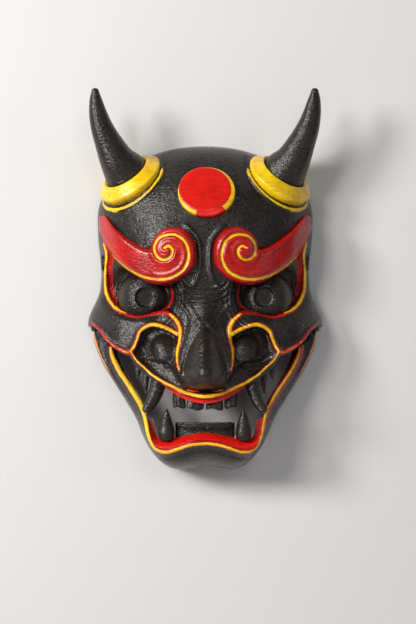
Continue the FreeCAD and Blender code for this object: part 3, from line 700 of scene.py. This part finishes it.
def jaw_paint(obj):
    brush = Brush(obj)
    x, z = brush.x, brush.z
    lip, lip_side, way = brush.measure(LOWER_LIP)
    broad = stripe(lip, way, [(0, 0.4), (0.1, 1.6), (0.3, 1.8), (0.42, 1.5), (0.6, 1.05), (1, 0.85)])
    fine = stripe(lip, way, [(0, 0.3), (0.1, 0.75), (0.4, 0.8), (0.6, 0.7), (1, 0.85)])
    brush.paint("gold", np.where(x < 0, broad, fine))
    brush.paint("red", stripe(lip, way, [(0, 1.2), (0.1, 1.9), (0.5, 1.9), (1, 1.6)]))
    brush.paint("red", only((x > 0) & (lip_side > 0) & (way < 0.45), 3.3 - lip))
    brush.paint("red", only((lip_side < 0) & (lip < 8) & (z < -74 - 3 * (x < 0)), lip))
    rim, _, way = brush.measure(JAW_RIM)
    brush.paint("gold", stripe(rim, way, [(0, 0.3), (0.2, 0.7), (0.5, 0.5), (0.66, -0.6), (1, -2)]))
    brush.paint("red", stripe(rim, way, [(0, 1.2), (0.3, 1.5), (0.55, 1.0), (0.74, -0.6), (1, -2)]))
    brush.store(brush.front)


jaw = sheet_piece("jaw_skin", 330, 60, lambda u, v: jaw_point(u, v, 0.0),
                  lambda u, v: jaw_point(u, v, FACE_WALL))
jaw_paint(jaw)
dress(jaw, STRIPED_LACQUER, "jaw_shell")
print("jaw:", len(jaw.data.polygons), "faces")

# %% [markdown]
# ## Rods and turned pieces
# Knuckles, seats, eyes and collars are round. A rod is a cylinder with softened rims. A turned piece is a
# profile spun about its axis, as on a lathe, with its doubles merged where the spin closes.

# %% Rods, turned pieces and blocks
def aim(origin, way):
    """Matrix that moves +Z at the origin to way at the given point."""
    turn = Vector((0, 0, 1)).rotation_difference(Vector(way).normalized())
    return Matrix.Translation(origin) @ turn.to_matrix().to_4x4()


def soften(bm, edges, soft, segments):
    """Rounds edges of a bmesh by soft millimetres."""
    bmesh.ops.bevel(bm, geom=edges, offset=soft / 1000, offset_type="OFFSET", segments=segments,
                    profile=0.5, affect="EDGES", material=-1)


def rod(name, origin, way, radius, length, soft=0.3, around=48):
    """A cylinder from origin (in the frame) along way; radius, length and soft rim in millimetres."""
    bm = bmesh.new()
    bmesh.ops.create_cone(bm, cap_ends=True, segments=around, radius1=radius / 1000,
                          radius2=radius / 1000, depth=length / 1000)
    bmesh.ops.translate(bm, verts=bm.verts[:], vec=(0, 0, length / 2000))
    rims = [edge for edge in bm.edges if len(edge.link_faces[0].verts) != len(edge.link_faces[1].verts)]
    soften(bm, rims, soft, 2)
    bmesh.ops.transform(bm, matrix=aim(origin, way), verts=bm.verts[:])
    return new_piece(name, bm)


def turned(name, profile, matrix, around=96):
    """A closed profile of (radius, height) in millimetres, spun about +Z and then moved by matrix."""
    bm = bmesh.new()
    spots = [bm.verts.new((r / 1000, 0, h / 1000)) for r, h in profile]
    ends = zip(spots, spots[1:] + spots[:1])
    edges = [bm.edges.new(pair) for pair in ends if not (pair[0].co.x < 1e-9 and pair[1].co.x < 1e-9)]
    bmesh.ops.spin(bm, geom=spots + edges, cent=(0, 0, 0), axis=(0, 0, 1), dvec=(0, 0, 0),
                   angle=math.tau, steps=around, use_merge=True)
    bmesh.ops.remove_doubles(bm, verts=bm.verts[:], dist=1e-7)
    bmesh.ops.recalc_face_normals(bm, faces=bm.faces[:])
    bmesh.ops.transform(bm, matrix=matrix, verts=bm.verts[:])
    return new_piece(name, bm)


def block(name, low, high, soft):
    """A box between two corners (x, depth, z) in millimetres with softened edges."""
    bm = bmesh.new()
    bmesh.ops.create_cube(bm, size=1.0)
    a, b = point(*low), point(*high)
    spans = Vector([abs(q - p) for p, q in zip(a, b)])
    bmesh.ops.scale(bm, vec=spans, verts=bm.verts[:])
    soften(bm, bm.edges[:], soft, 3)
    bmesh.ops.translate(bm, vec=(a + b) / 2, verts=bm.verts[:])
    return new_piece(name, bm)


def arc(radius, start, end, count):
    """Points of an arc about the origin of a profile, between two angles in radians."""
    return [(radius * math.cos(angle), radius * math.sin(angle))
            for angle in np.linspace(start, end, count + 1)]


def mirror_x(vector, side):
    return Vector((side * vector[0], vector[1], vector[2]))


def lift(vector):
    """A point in millimetres from the eye line (x, y, z) as a point in the frame."""
    return Vector((vector[0], vector[1], vector[2] - HANG)) / 1000


# %% [markdown]
# ## Eyes
# Each eye is a thin domed cap set in from behind. A flat ledge runs round the pupil hole, so the eye is
# turned on a lathe: one profile, spun once.

# %% Eyes with pierced pupils
def make_eye(name, side):
    ledge, hole, inside = 6.5, 4.6, EYE_RADIUS - 2.5
    outer = arc(EYE_RADIUS, 0, math.acos((ledge + 0.5) / EYE_RADIUS), 28)
    top = outer[-1][1]
    throat = [(ledge + 0.2, top - 0.1), (ledge - 0.1, top - 0.7), (ledge - 0.3, top - 1.7),
              (hole + 0.4, top - 1.9), (hole, top - 2.2)]
    inner = arc(inside, math.acos(hole / inside), 0, 20)
    place = aim(lift((side * EYE_X, -EYE_DEPTH, EYE_Z)), (0, -1, 0))
    return dress(turned(f"eye_cap_{name}", outer + throat + inner, place), LACQUER, f"eye_{name}")


for name, side in SIDES.items():
    make_eye(name, side)
print("eye caps at x =", [side * EYE_X for side in SIDES.values()])

# %% [markdown]
# ## Forehead disc
# A red sun disc is let into the forehead, leaning back with it. A yellow disc behind it, set a little
# lower, shows as two crescents. Both are turned.

# %% Red disc and yellow crescents
TILT = math.radians(28.2)
DISC_WAY = Vector((0, -math.cos(TILT), math.sin(TILT)))
DISC_UP = Vector((0, math.sin(TILT), math.cos(TILT)))
DISC_ROOT = Vector((0, -float(dome_depth(0.0, 67.0)), 67.0))
DISC_RADIUS, MOON_RADIUS = 16.8, 18.2
MOON_DROP, MOON_SHIFT = 1.2, 1.0
RED_LEFT, RED_RIGHT, RED_BELOW = -5, 12.5, 62
disc_profile = [(0, -2), (DISC_RADIUS, -2), (DISC_RADIUS, 1.2), (DISC_RADIUS - 0.2, 1.6),
                (DISC_RADIUS - 0.6, 1.85), (DISC_RADIUS - 1.4, 2.0)]
disc_profile += [(r, 2.0 + 0.3 * (1 - (r / 15) ** 2)) for r in (13, 10, 7, 4, 2)] + [(0, 2.3)]
disc = turned("sun_disc", disc_profile, aim(lift(DISC_ROOT), DISC_WAY))
dress(disc, RED_ENAMEL, "forehead_disc")
moon_root = DISC_ROOT - DISC_UP * MOON_DROP + Vector((MOON_SHIFT, 0, 0))
moon_profile = [(0, -2.2), (MOON_RADIUS, -2.2), (MOON_RADIUS, 0.8), (MOON_RADIUS - 0.2, 1.2),
                (MOON_RADIUS - 0.7, 1.5), (0, 1.5)]
moon = turned("moon_crescents", moon_profile, aim(lift(moon_root), DISC_WAY))
x, depth, z = vertices(moon)
red_part = (x > RED_LEFT) & (x < RED_RIGHT) & (z < RED_BELOW)
store(moon, gold=np.where(red_part, BARE, 1.0), red=np.ones(x.shape))
dress(moon, STRIPED_BRIGHT, "forehead_crescent")
print("disc centre:", tuple(lift(DISC_ROOT)))

# %% [markdown]
# ## Tapering pieces
# Horns, tusks and fangs are all one shape: a round section that travels along a curved centre line and
# shrinks to a blunt tip. A flat grid is rolled into that tube, its seam is merged, and its first and last
# rows are drawn in to close the ends.

# %% A tube along a centre line
def tube(name, spots, radii, around=40, rows=60, cap=0.05):
    """spots are (x, depth, z) in millimetres with radii at the same places; cap is each end's share."""
    line = smooth_line(spots, 14)
    thick = smooth_line([(r, 0) for r in radii], 14)[:, 0]
    shares = np.linspace(0, 1, len(line))

    def spot_at(t):
        return np.stack([np.interp(t, shares, line[:, k]) for k in range(3)], axis=-1)

    def shell(u, v):
        t = np.clip((v - cap) / (1 - 2 * cap), 0, 1)
        centre, ahead, behind = (spot_at(np.clip(t + step, 0, 1)) for step in (0, 0.02, -0.02))
        way = ahead - behind
        way /= np.linalg.norm(way, axis=1)[:, None]
        across = np.cross(way, np.array([0.0, 1.0, 0.0]))
        across /= np.linalg.norm(across, axis=1)[:, None]
        upward = np.cross(across, way)
        radius = np.interp(t, shares, thick)
        start, end = np.clip(1 - v / cap, 0, 1), np.clip(1 - (1 - v) / cap, 0, 1)
        radius = radius * np.where(v < 0.5, 1 - start, np.sqrt(np.clip(1 - end ** 2, 0, 1)))
        dome = thick[-1] * end
        turn = math.tau * u
        spot = centre + across * (radius * np.cos(turn))[:, None]
        spot += upward * (radius * np.sin(turn))[:, None] + way * dome[:, None]
        return spot.T

    bm = flat_grid(around, rows)
    put(bm, to_frame(*shell(*flat_columns(bm.verts, 0.5))))
    bmesh.ops.remove_doubles(bm, verts=bm.verts[:], dist=2e-6)
    bmesh.ops.recalc_face_normals(bm, faces=bm.faces[:])
    return new_piece(name, bm)


def mirrored(spots, side):
    return [(side * x, depth, z) for x, depth, z in spots]


# %% [markdown]
# ## Horns and collars
# Each horn leaves the crown forwards and outwards, then turns upright. A yellow collar, a flared ring
# turned on the horn's own axis, hides the joint. Its base is kept inside the wall of the shell. The screw
# behind it comes from the solid model.

# %% Horns on their collars
HORN_LINE = [(57.0, 27.8, 88.5), (62.2, 31.5, 99.0), (66.0, 34.2, 108.0), (68.4, 36.0, 116.5),
             (69.8, 37.0, 125.0), (70.2, 37.5, 130.6)]
HORN_RADII = [14.4, 14.2, 11.4, 8.9, 7.3, 5.9, 4.2, 2.5]
COLLAR = [(14.7, -5), (22.1, -5), (22.5, -0.6), (22.4, -0.1), (22.0, 0.4), (20.4, 1.6), (18.0, 3.5),
          (16.4, 4.9), (16.0, 5.1), (15.6, 5.0), (15.3, 4.6), (14.7, 4.4)]

for name, side in SIDES.items():
    root, way = mirror_x(HORN_ROOT, side), mirror_x(HORN_WAY, side)
    starts = [root + way * 1.5, root + way * 6.5]
    spots = [(s.x, -s.y, s.z) for s in starts] + mirrored(HORN_LINE, side)
    horn = tube(f"horn_skin_{name}", spots, HORN_RADII, around=72, rows=140, cap=0.04)
    dress(horn, LACQUER, f"horn_{name}")
    collar = turned(f"collar_ring_{name}", COLLAR, aim(lift(root), way))
    x, depth, z = vertices(collar)
    in_wall = dome_depth(x, z - CROWN_LIFT * ease((z - 76) / 20), FACE_WALL / 2 + 0.1)
    move(collar, x, np.maximum(depth, in_wall), z)
    dress(collar, GOLD_ENAMEL, f"horn_collar_{name}")
    seat = rod(f"horn_seat_{name}", lift(root - way * 9), way, 14.4, 10.5, soft=0.5, around=72)
    dress(seat, LACQUER, "face_shell")
print("horns:", len(horn.data.polygons), "faces each")

# %% [markdown]
# ## Scroll brows
# Each brow is a thick comma that curls into a spiral over the eye. Its outline is cut from a grid, the
# edge is pulled onto the outline, and the top is puffed up like a cushion. The yellow line that runs down
# the brow and round the spiral is a groove, so the same distance carves it and paints it.

# %% Outline and spiral of the brow
BROW_TOP = [(70.4, 52.5), (64.3, 51.6), (55.2, 41.9), (43.5, 33.3), (35.0, 30.0)]
BROW_SCROLL = [(33.6, 34.2), (30.6, 39.2), (25.8, 42.8), (19.2, 43.9), (12.1, 41.9), (6.9, 35.3),
               (5.2, 27.5), (6.9, 18.3), (14.7, 10.5), (25.8, 6.9), (37.6, 9.2), (53.9, 19.6),
               (62.4, 30.0), (70.5, 42.5), (70.9, 47), (70.4, 52.5)]
BROW_EDGE = Line(BROW_TOP + BROW_SCROLL, 10)
BROW_TIP = 62
BROW_LINE_GOLD = Line([(70.2, 50), (69.6, 42), (63.7, 30.9), (53.9, 20.6), (43.5, 14.0), (34.3, 11.0),
                       (26, 10.6), (19.6, 12.4), (13.4, 16.8), (10.4, 25), (12.2, 33.0), (16.8, 37.4),
                       (21.6, 38.6), (27.6, 37.2), (31.2, 33.2), (31.9, 28.6), (29.8, 24.4), (25.8, 22.7),
                       (21.9, 24.4), (20.6, 28.4), (22.8, 31.3), (25.6, 30.2)])


def inside_outline(outline, x, z):
    """True where a point of the front view is inside a closed line."""
    crossed = np.zeros(x.shape, bool)
    for (ax, az), (bx, bz) in zip(outline.points, outline.points[1:]):
        if az == bz:
            continue
        spans = (az > z) != (bz > z)
        crossed ^= spans & (x < ax + (z - az) * (bx - ax) / (bz - az))
    return crossed


def skin_rise(x, z):
    """How far the masses lift the skin off the dome."""
    return masses(x, z) * np.clip(dome_share(x, z) * 2.5, 0, 1)


def cap_depth(x, z):
    """Depth just under the front of the eye cap, or far behind where there is none."""
    over = EYE_RADIUS ** 2 - (np.abs(x) - EYE_X) ** 2 - (z - EYE_Z) ** 2
    return np.where(over > 0, EYE_DEPTH + np.sqrt(np.maximum(over, 0)) - 1.2, -99)


def brow_top(x, z):
    """(depth of the brow's top, distance in from its edge, distance from its yellow line)."""
    side = np.abs(x)
    edge, line = (curve.distance(side, z) for curve in (BROW_EDGE, BROW_LINE_GOLD))
    puff = 7.4 * np.clip(1 - (1 - np.clip(edge / 4.2, 0, 1)) ** 2.2, 0, 1) ** 0.5
    curl = np.hypot(side - 25, z - 28)
    puff += 1.5 * bump(curl, 4.6) - 1.0 * bump(line, 1.1) + 0.5 * bump(line - 2.4, 1.3) * (curl < 16)
    taper = 0.35 + 0.65 * ease((72 - side) / 16)
    return dome_depth(x, z) + np.maximum(puff * taper, skin_rise(x, z)) - 0.6, edge, line


def make_brow(name, side):
    """Cuts the outline from a grid laid flat in millimetres, snaps its border to it and puffs it up."""
    bm = flat_grid(150, 106)
    u, v = flat_columns(bm.verts, 0.5)
    x, z = 4.4 + 67.2 * u, 6.0 + 48.0 * v
    inside = inside_outline(BROW_EDGE, x, z)
    for vert, px, pz in zip(bm.verts, x, z):
        vert.co = (px, pz, 0)
    remove(bm, [vert for vert, kept in zip(bm.verts, inside) if not kept])
    remove(bm, [vert for vert in bm.verts if not vert.link_faces])
    border = [vert for vert in bm.verts if vert.is_boundary]
    share = BROW_EDGE.measure(*flat_columns(border))[2]
    for vert, px, pz in zip(border, *BROW_EDGE.place(share)):
        vert.co = (px, pz, 0)
    back = set(doubled(bm))
    x, z = flat_columns(bm.verts)
    x = np.where(x > BROW_TIP, BROW_TIP + (x - BROW_TIP) * 0.85, x)
    behind = np.array([vert in back for vert in bm.verts])
    top = brow_top(x, z)[0]
    under = np.maximum(dome_depth(x, z) + skin_rise(x, z) - 1.5, cap_depth(x, z))
    under = np.minimum(under, top - 0.4)
    put(bm, to_frame(side * x, np.where(behind, under, top), z))
    brow = new_piece(f"scroll_brow_{name}", bm)
    x, depth, z = vertices(brow)
    top, edge, line = brow_top(x, z)
    slope = np.hypot(dome_depth(np.abs(x) + 0.5, z) - dome_depth(np.abs(x) - 0.5, z), 1)
    gold = only(depth > top - 0.5, 0.82 - line * np.minimum(slope, 2.2) * (1 + 0.5 * (edge < line)))
    store(brow, gold=gold, red=np.ones(x.shape))
    return dress(brow, STRIPED_RED, f"brow_{name}")


for name, side in SIDES.items():
    brow = make_brow(name, side)
print("brows:", len(brow.data.polygons), "faces each")

# %% [markdown]
# ## Gums and teeth
# The red gums are narrow strips behind the lips. The upper teeth are four broad incisors, a pair of tusks
# that curve out over the lower lip, and small pointed teeth near the corners. The lower jaw has a low
# ridge of joined teeth between two fangs.

# %% Gum strips
GUM_THICK = 3.0


def shell_depth(x, z):
    """Depth of the face shell's inner face."""
    return (dome_depth(x, z, FACE_WALL)
            + masses(x, z, FACE_WALL) * np.clip(dome_share(x, z, FACE_WALL) * 2.5, 0, 1))


def strip(name, top, foot, puff=0.5):
    """A sheet between two rows of spots, each spot (x, depth, z), puffed outwards in the middle."""
    top, foot = smooth_line(top, 10), smooth_line(foot, 10)
    spots = np.linspace(0, 1, len(top))

    def front(u, v):
        a = [np.interp(u, spots, top[:, k]) for k in range(3)]
        b = [np.interp(u, spots, foot[:, k]) for k in range(3)]
        x, depth, z = (p + (q - p) * v for p, q in zip(a, b))
        return x, depth + puff * np.sin(math.pi * v), z

    def back(u, v):
        x, depth, z = front(u, v)
        return x, depth - GUM_THICK, z

    return sheet_piece(name, 120, 10, front, back)


marks = np.linspace(-25, 25, 11)
lip_heights = np.interp(np.abs(marks), LOWER[:, 0], LOWER[:, 1])
lip_depths = shell_depth(marks, lip_heights + 3) + 0.4
upper = [(x, d, z + 5) for x, d, z in zip(marks, lip_depths, lip_heights)]
lower = [(x, d, z - 5 - 2.8 * (1 - (x / 25) ** 2) - 0.2) for x, d, z in upper]
dress(strip("upper_gum_strip", upper, lower), RED_ENAMEL, "upper_gum")

GUM_TOP = [(33.6, -79.0), (31.4, -86.4), (29.6, -90.4), (24.5, -90.8), (16.4, -89.6), (7.6, -87.7),
           (0, -87.0)]
outer = [(mx, deep - 0.2, mz) for mx, mz, ox, oz, deep in JAW[5:]]
inner = [(x, deep - 6.0, z) for (x, z), deep in zip(GUM_TOP, JAW[5:, 4])]
outer, inner = (mirrored(row, -1) + row[-2::-1] for row in (outer, inner))
dress(strip("lower_gum_strip", outer, inner, puff=0.8), RED_ENAMEL, "lower_gum")
print("gum strips made")


# %% Teeth
TOOTH_THICK = 4.6


def worn_block(name, low, high, soft, cuts, shape):
    """A softened block, cut finely and then pushed into shape by a function of x, depth and z."""
    piece = block(name, low, high, soft)
    bm = bmesh.new()
    bm.from_mesh(piece.data)
    bmesh.ops.subdivide_edges(bm, edges=bm.edges[:], cuts=cuts, use_grid_fill=True)
    bm.to_mesh(piece.data)
    bm.free()
    piece.data.shade_smooth()
    move(piece, *shape(*vertices(piece)))
    return piece


def incisor_shape(low, high, foot, seed):
    middle, half = (low + high) / 2, (high - low) / 2

    def shape(x, depth, z):
        across = (x - middle) / half
        depth = depth - 1.1 * across ** 2 + 0.25 * np.sin(across * 9 + seed)
        ragged = 0.7 * np.sin(across * 3.1 + seed * 2.3) * ease((foot + 6 - z) / 5)
        return x + 0.2 * np.sin(z * 0.9 + seed), depth, z + ragged

    return shape


for name, side in SIDES.items():
    for k, (x0, x1, foot) in enumerate([(0.4, 11.4, -72.0), (12.3, 20.4, -71.0)]):
        low, high = sorted((side * x0, side * x1))
        middle = abs(low + high) / 2
        lip_height = float(np.interp(middle, LOWER[:, 0], LOWER[:, 1]))
        front = float(shell_depth(middle, lip_height + 3)) - GUM_THICK + 0.9
        tooth = worn_block(f"incisor_{name}_{k + 1}", (low, front - TOOTH_THICK, foot),
                           (high, front, lip_height + 2), 1.2, 7,
                           incisor_shape(low, high, foot, 2 * k + side))
        dress(tooth, LACQUER, "upper_teeth")

TUSK = [(29.0, 0.0, -48.0), (29.4, 1.2, -54.5), (31.0, 3.2, -61.0), (33.6, 5.6, -67.0), (36.8, 7.4, -71.6)]
tusk_root = float(shell_depth(29.0, -49.0)) - 3.6
for name, side in SIDES.items():
    tusk = tube(f"tusk_skin_{name}", mirrored([(x, tusk_root + d, z) for x, d, z in TUSK], side),
                [4.2, 5.0, 4.7, 4.0, 3.0], around=40, rows=60, cap=0.06)
    dress(tusk, LACQUER, f"tusk_{name}")
    for k, (x, foot, r) in enumerate([(37.4, -62.0, 2.4), (42.6, -53.0, 2.1)]):
        depth = float(shell_depth(x, -43.0)) - r + 0.4
        spots = [(x, depth, -41.5), (x, depth + 0.3, (foot - 42) / 2), (x + 0.5, depth + 0.7, foot)]
        small = tube(f"back_tooth_{name}_{k + 1}", mirrored(spots, side), [r, 0.85 * r, 0.45],
                     around=28, rows=40)
        dress(small, LACQUER, f"back_teeth_{name}")
    fang_line = [(24.6, 43.9, -91.6), (24.6, 44.0, -89.6), (24.5, 44.4, -86.0), (24.5, 44.8, -79.7),
                 (24.4, 45.0, -74.8), (24.2, 45.1, -72.4)]
    fang = tube(f"fang_skin_{name}", mirrored(fang_line, side), [4.2, 4.8, 5.2, 3.7, 1.9, 0.75],
                around=40, rows=70)
    dress(fang, LACQUER, f"lower_fang_{name}")


def ridge_shape(x, depth, z):
    """Bends the lower ridge of teeth round the jaw and cuts its long groove and its middle notch."""
    front = depth > 37.9
    bend = 2.8 * (x / 19) ** 2
    groove = 0.9 * bump(z + 84.9, 0.6) + 0.7 * bump(x, 0.5) * (z > -85)
    step = 1.0 * ease((z + 85.4) / 0.8)
    crest = 0.12 * np.sin(x * 0.9) * ease((z + 82) / 1.5)
    return x, depth - bend - np.where(front, groove + step, 0), z + crest


ridge = worn_block("lower_tooth_ridge", (-19, 38.0, -90.2), (19, 42.9, -80.6), 0.7, 23, ridge_shape)
dress(ridge, LACQUER, "lower_teeth")
print("teeth made")

# %% [markdown]
# ## Inside the shell
# From behind one sees how the mask is put together: the block that takes the hanger plate, the pads for the
# cord eyelets, and the knuckles of the jaw on their pins. Pins, screws, eyelets and plate already have their
# true shape in the solid model, so they only get a finish: lacquer on the eyelets and metal on the others.

# %% Blocks, pads, bosses and knuckles
BLOCK_HALF = 18.0
BLOCK_SIDE = [(1.5, 74), (36, 75.5), (16, 90), (1.5, 90)]


def wedge_block(name):
    """The hanger block: a prism from its side outline (depth, z), as wide as the plate."""
    bm = bmesh.new()
    bm.faces.new([bm.verts.new(point(-BLOCK_HALF, depth, z)) for depth, z in BLOCK_SIDE])
    bmesh.ops.translate(bm, vec=(2 * BLOCK_HALF / 1000, 0, 0), verts=doubled(bm))
    bmesh.ops.recalc_face_normals(bm, faces=bm.faces[:])
    piece = new_piece(name, bm)
    piece.data.shade_flat()
    return piece


dress(wedge_block("hanger_block"), LACQUER, "face_shell")
HINGE_Y, HINGE_Z = -7.5, -18.0
KNUCKLE_IN, KNUCKLE_LONG, BOSS_IN = 65.2, 5.0, 70.5
HEEL_MIDDLE, HEEL_HALF = 67.1, 1.8
for name, side in SIDES.items():
    out = (side, 0, 0)
    boss = rod(f"hinge_boss_{name}", lift((side * BOSS_IN, HINGE_Y, HINGE_Z)), out, 5.0, 4.0)
    pad = rod(f"cord_pad_{name}", lift((side * 61.5, -12, 22)), out, 5.6, 5.4)
    peg = rod(f"stop_peg_{name}", lift((side * 66, -12.5, -9)), out, 1.5, 5.0, soft=0.2)
    for part in (boss, pad, peg):
        dress(part, LACQUER, "face_shell")
    knuckle = rod(f"jaw_knuckle_{name}", lift((side * KNUCKLE_IN, HINGE_Y, HINGE_Z)), out, 6.0,
                  KNUCKLE_LONG)
    ends = sorted((side * KNUCKLE_IN, side * (KNUCKLE_IN + KNUCKLE_LONG)))
    web = block(f"jaw_web_{name}", (ends[0], 2.4, -30), (ends[1], 11.4, -18), 0.5)
    heel = block(f"jaw_heel_{name}", (side * HEEL_MIDDLE - HEEL_HALF, 4.3, -17.5),
                 (side * HEEL_MIDDLE + HEEL_HALF, 10.7, -7.5), 0.4)
    for part in (knuckle, web, heel):
        dress(part, LACQUER, "jaw_shell")


# %% Metal for the fittings
def metal(name, tint, tint_worn, rough):
    finish = Finish(name, Metallic=1.0)
    wear = finish.noise(finish.place(), 500.0, 4.0)
    lines = finish.noise(finish.place((1, 12, 1)), 600.0, 2.0)
    colour = finish.mix(wear.sharpen(0.4, 0.75), tint, tint_worn)
    return surface(finish, (colour, rough + 0.2 * wear, finish.relief(lines, 0.0001, 0.5)))


STEEL = metal("zinc_steel", (0.52, 0.52, 0.50, 1), (0.36, 0.35, 0.33, 1), 0.28)
for name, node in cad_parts.items():
    if name.startswith(("horn_screw", "hinge_pin", "hanger")):
        coat(node, STEEL)
    if name.startswith("cord_eyelet"):
        coat(node, LACQUER)
print("fittings finished")

# %% [markdown]
# ## Wall, light and camera
# The mask hangs on a plain pale wall above a plain floor. Two soft round lights on the left are the key and
# a window. Weak fills come from the right and from the front. The wall is clear from behind and casts no
# shadow, and a soft light stands behind it, so that the back of the mask can be seen.

# %% Wall and floor
def plain(name, colour, clear_behind=False):
    finish = Finish(name, Roughness=0.9)
    tone = finish.noise(finish.place(), 3.0, 2.0)
    pale = finish.mix(tone, colour, tuple(0.97 * c for c in colour[:3]) + (1,))
    material = finish.finish(Base_Color=pale)
    if clear_behind:
        behind = finish.node("ShaderNodeNewGeometry", output="Backfacing")
        clear = finish.node("ShaderNodeBsdfTransparent")
        solid = Signal(finish, finish.shader.outputs[0])
        both = finish.node("ShaderNodeMixShader", **{"0": behind, "1": solid, "2": clear})
        finish.tree.links.new(both.socket, finish.tree.nodes["Material Output"].inputs["Surface"])
    return material


def plane(name, centre, size, turn=None):
    bm = bmesh.new()
    bmesh.ops.create_grid(bm, x_segments=1, y_segments=1, size=size / 2)
    if turn is not None:
        bmesh.ops.rotate(bm, verts=bm.verts[:], cent=(0, 0, 0), matrix=turn)
    bmesh.ops.translate(bm, verts=bm.verts[:], vec=centre)
    return new_piece(name, bm)


wall = plane("pale_wall", (0, 0.0012, 0), 6.0, Matrix.Rotation(math.radians(90), 3, "X"))
wall.data.materials.append(plain("pale_plaster", (0.66, 0.65, 0.645, 1), clear_behind=True))
floor = plane("pale_floor", (0, -1.5, -0.9), 6.0)
floor.data.materials.append(plain("pale_floor_paint", (0.72, 0.71, 0.70, 1)))
wall.visible_shadow = False


# %% Lights
def softbox(name, spot, target, size, watts, tint=(1, 1, 1)):
    data = bpy.data.lights.new(name, "AREA")
    data.shape, data.size, data.energy, data.color = "DISK", size, watts, tint
    lamp = bpy.data.objects.new(name, data)
    lamp.location = spot
    lamp.rotation_mode = "QUATERNION"
    lamp.rotation_quaternion = (Vector(target) - Vector(spot)).to_track_quat("-Z", "Y")
    bpy.context.scene.collection.objects.link(lamp)
    return lamp


FACE_MIDDLE = (0, -0.03, -0.09)
softbox("key_left", (-1.05, -0.85, 0.28), FACE_MIDDLE, 0.36, 16.0, (1.0, 0.98, 0.95))
softbox("window_left", (-0.72, -1.2, 0.42), FACE_MIDDLE, 0.45, 10.0, (1.0, 0.99, 0.97))
softbox("fill_right", (1.2, -1.0, 0.1), FACE_MIDDLE, 0.5, 1.6, (0.95, 0.97, 1.0))
softbox("back_soft", (0.3, 1.3, 0.2), FACE_MIDDLE, 0.8, 9.0)
softbox("front_soft", (0.3, -1.6, 0.5), FACE_MIDDLE, 0.5, 3.0)
world = bpy.data.worlds.new("studio")
world.use_nodes = True
sky = world.node_tree.nodes["Background"].inputs
sky["Color"].default_value, sky["Strength"].default_value = (0.92, 0.94, 1.0, 1), 0.10
bpy.context.scene.world = world

# %% Camera
LENS, SENSOR = 100.0, 36.0
SEEN_HEIGHT, FOCUS_DEPTH = 0.3994, 0.036
camera_data = bpy.data.cameras.new("camera")
camera_data.lens, camera_data.sensor_width = LENS, SENSOR
camera = bpy.data.objects.new("camera", camera_data)
camera.location = (0.0019, -(FOCUS_DEPTH + SEEN_HEIGHT * LENS / SENSOR), -0.0912)
camera.rotation_euler = (math.radians(90), 0, 0)
bpy.context.scene.collection.objects.link(camera)
bpy.context.scene.camera = camera
bpy.context.scene.view_settings.view_transform = "Standard"
print("camera distance, metres:", -camera.location.y)
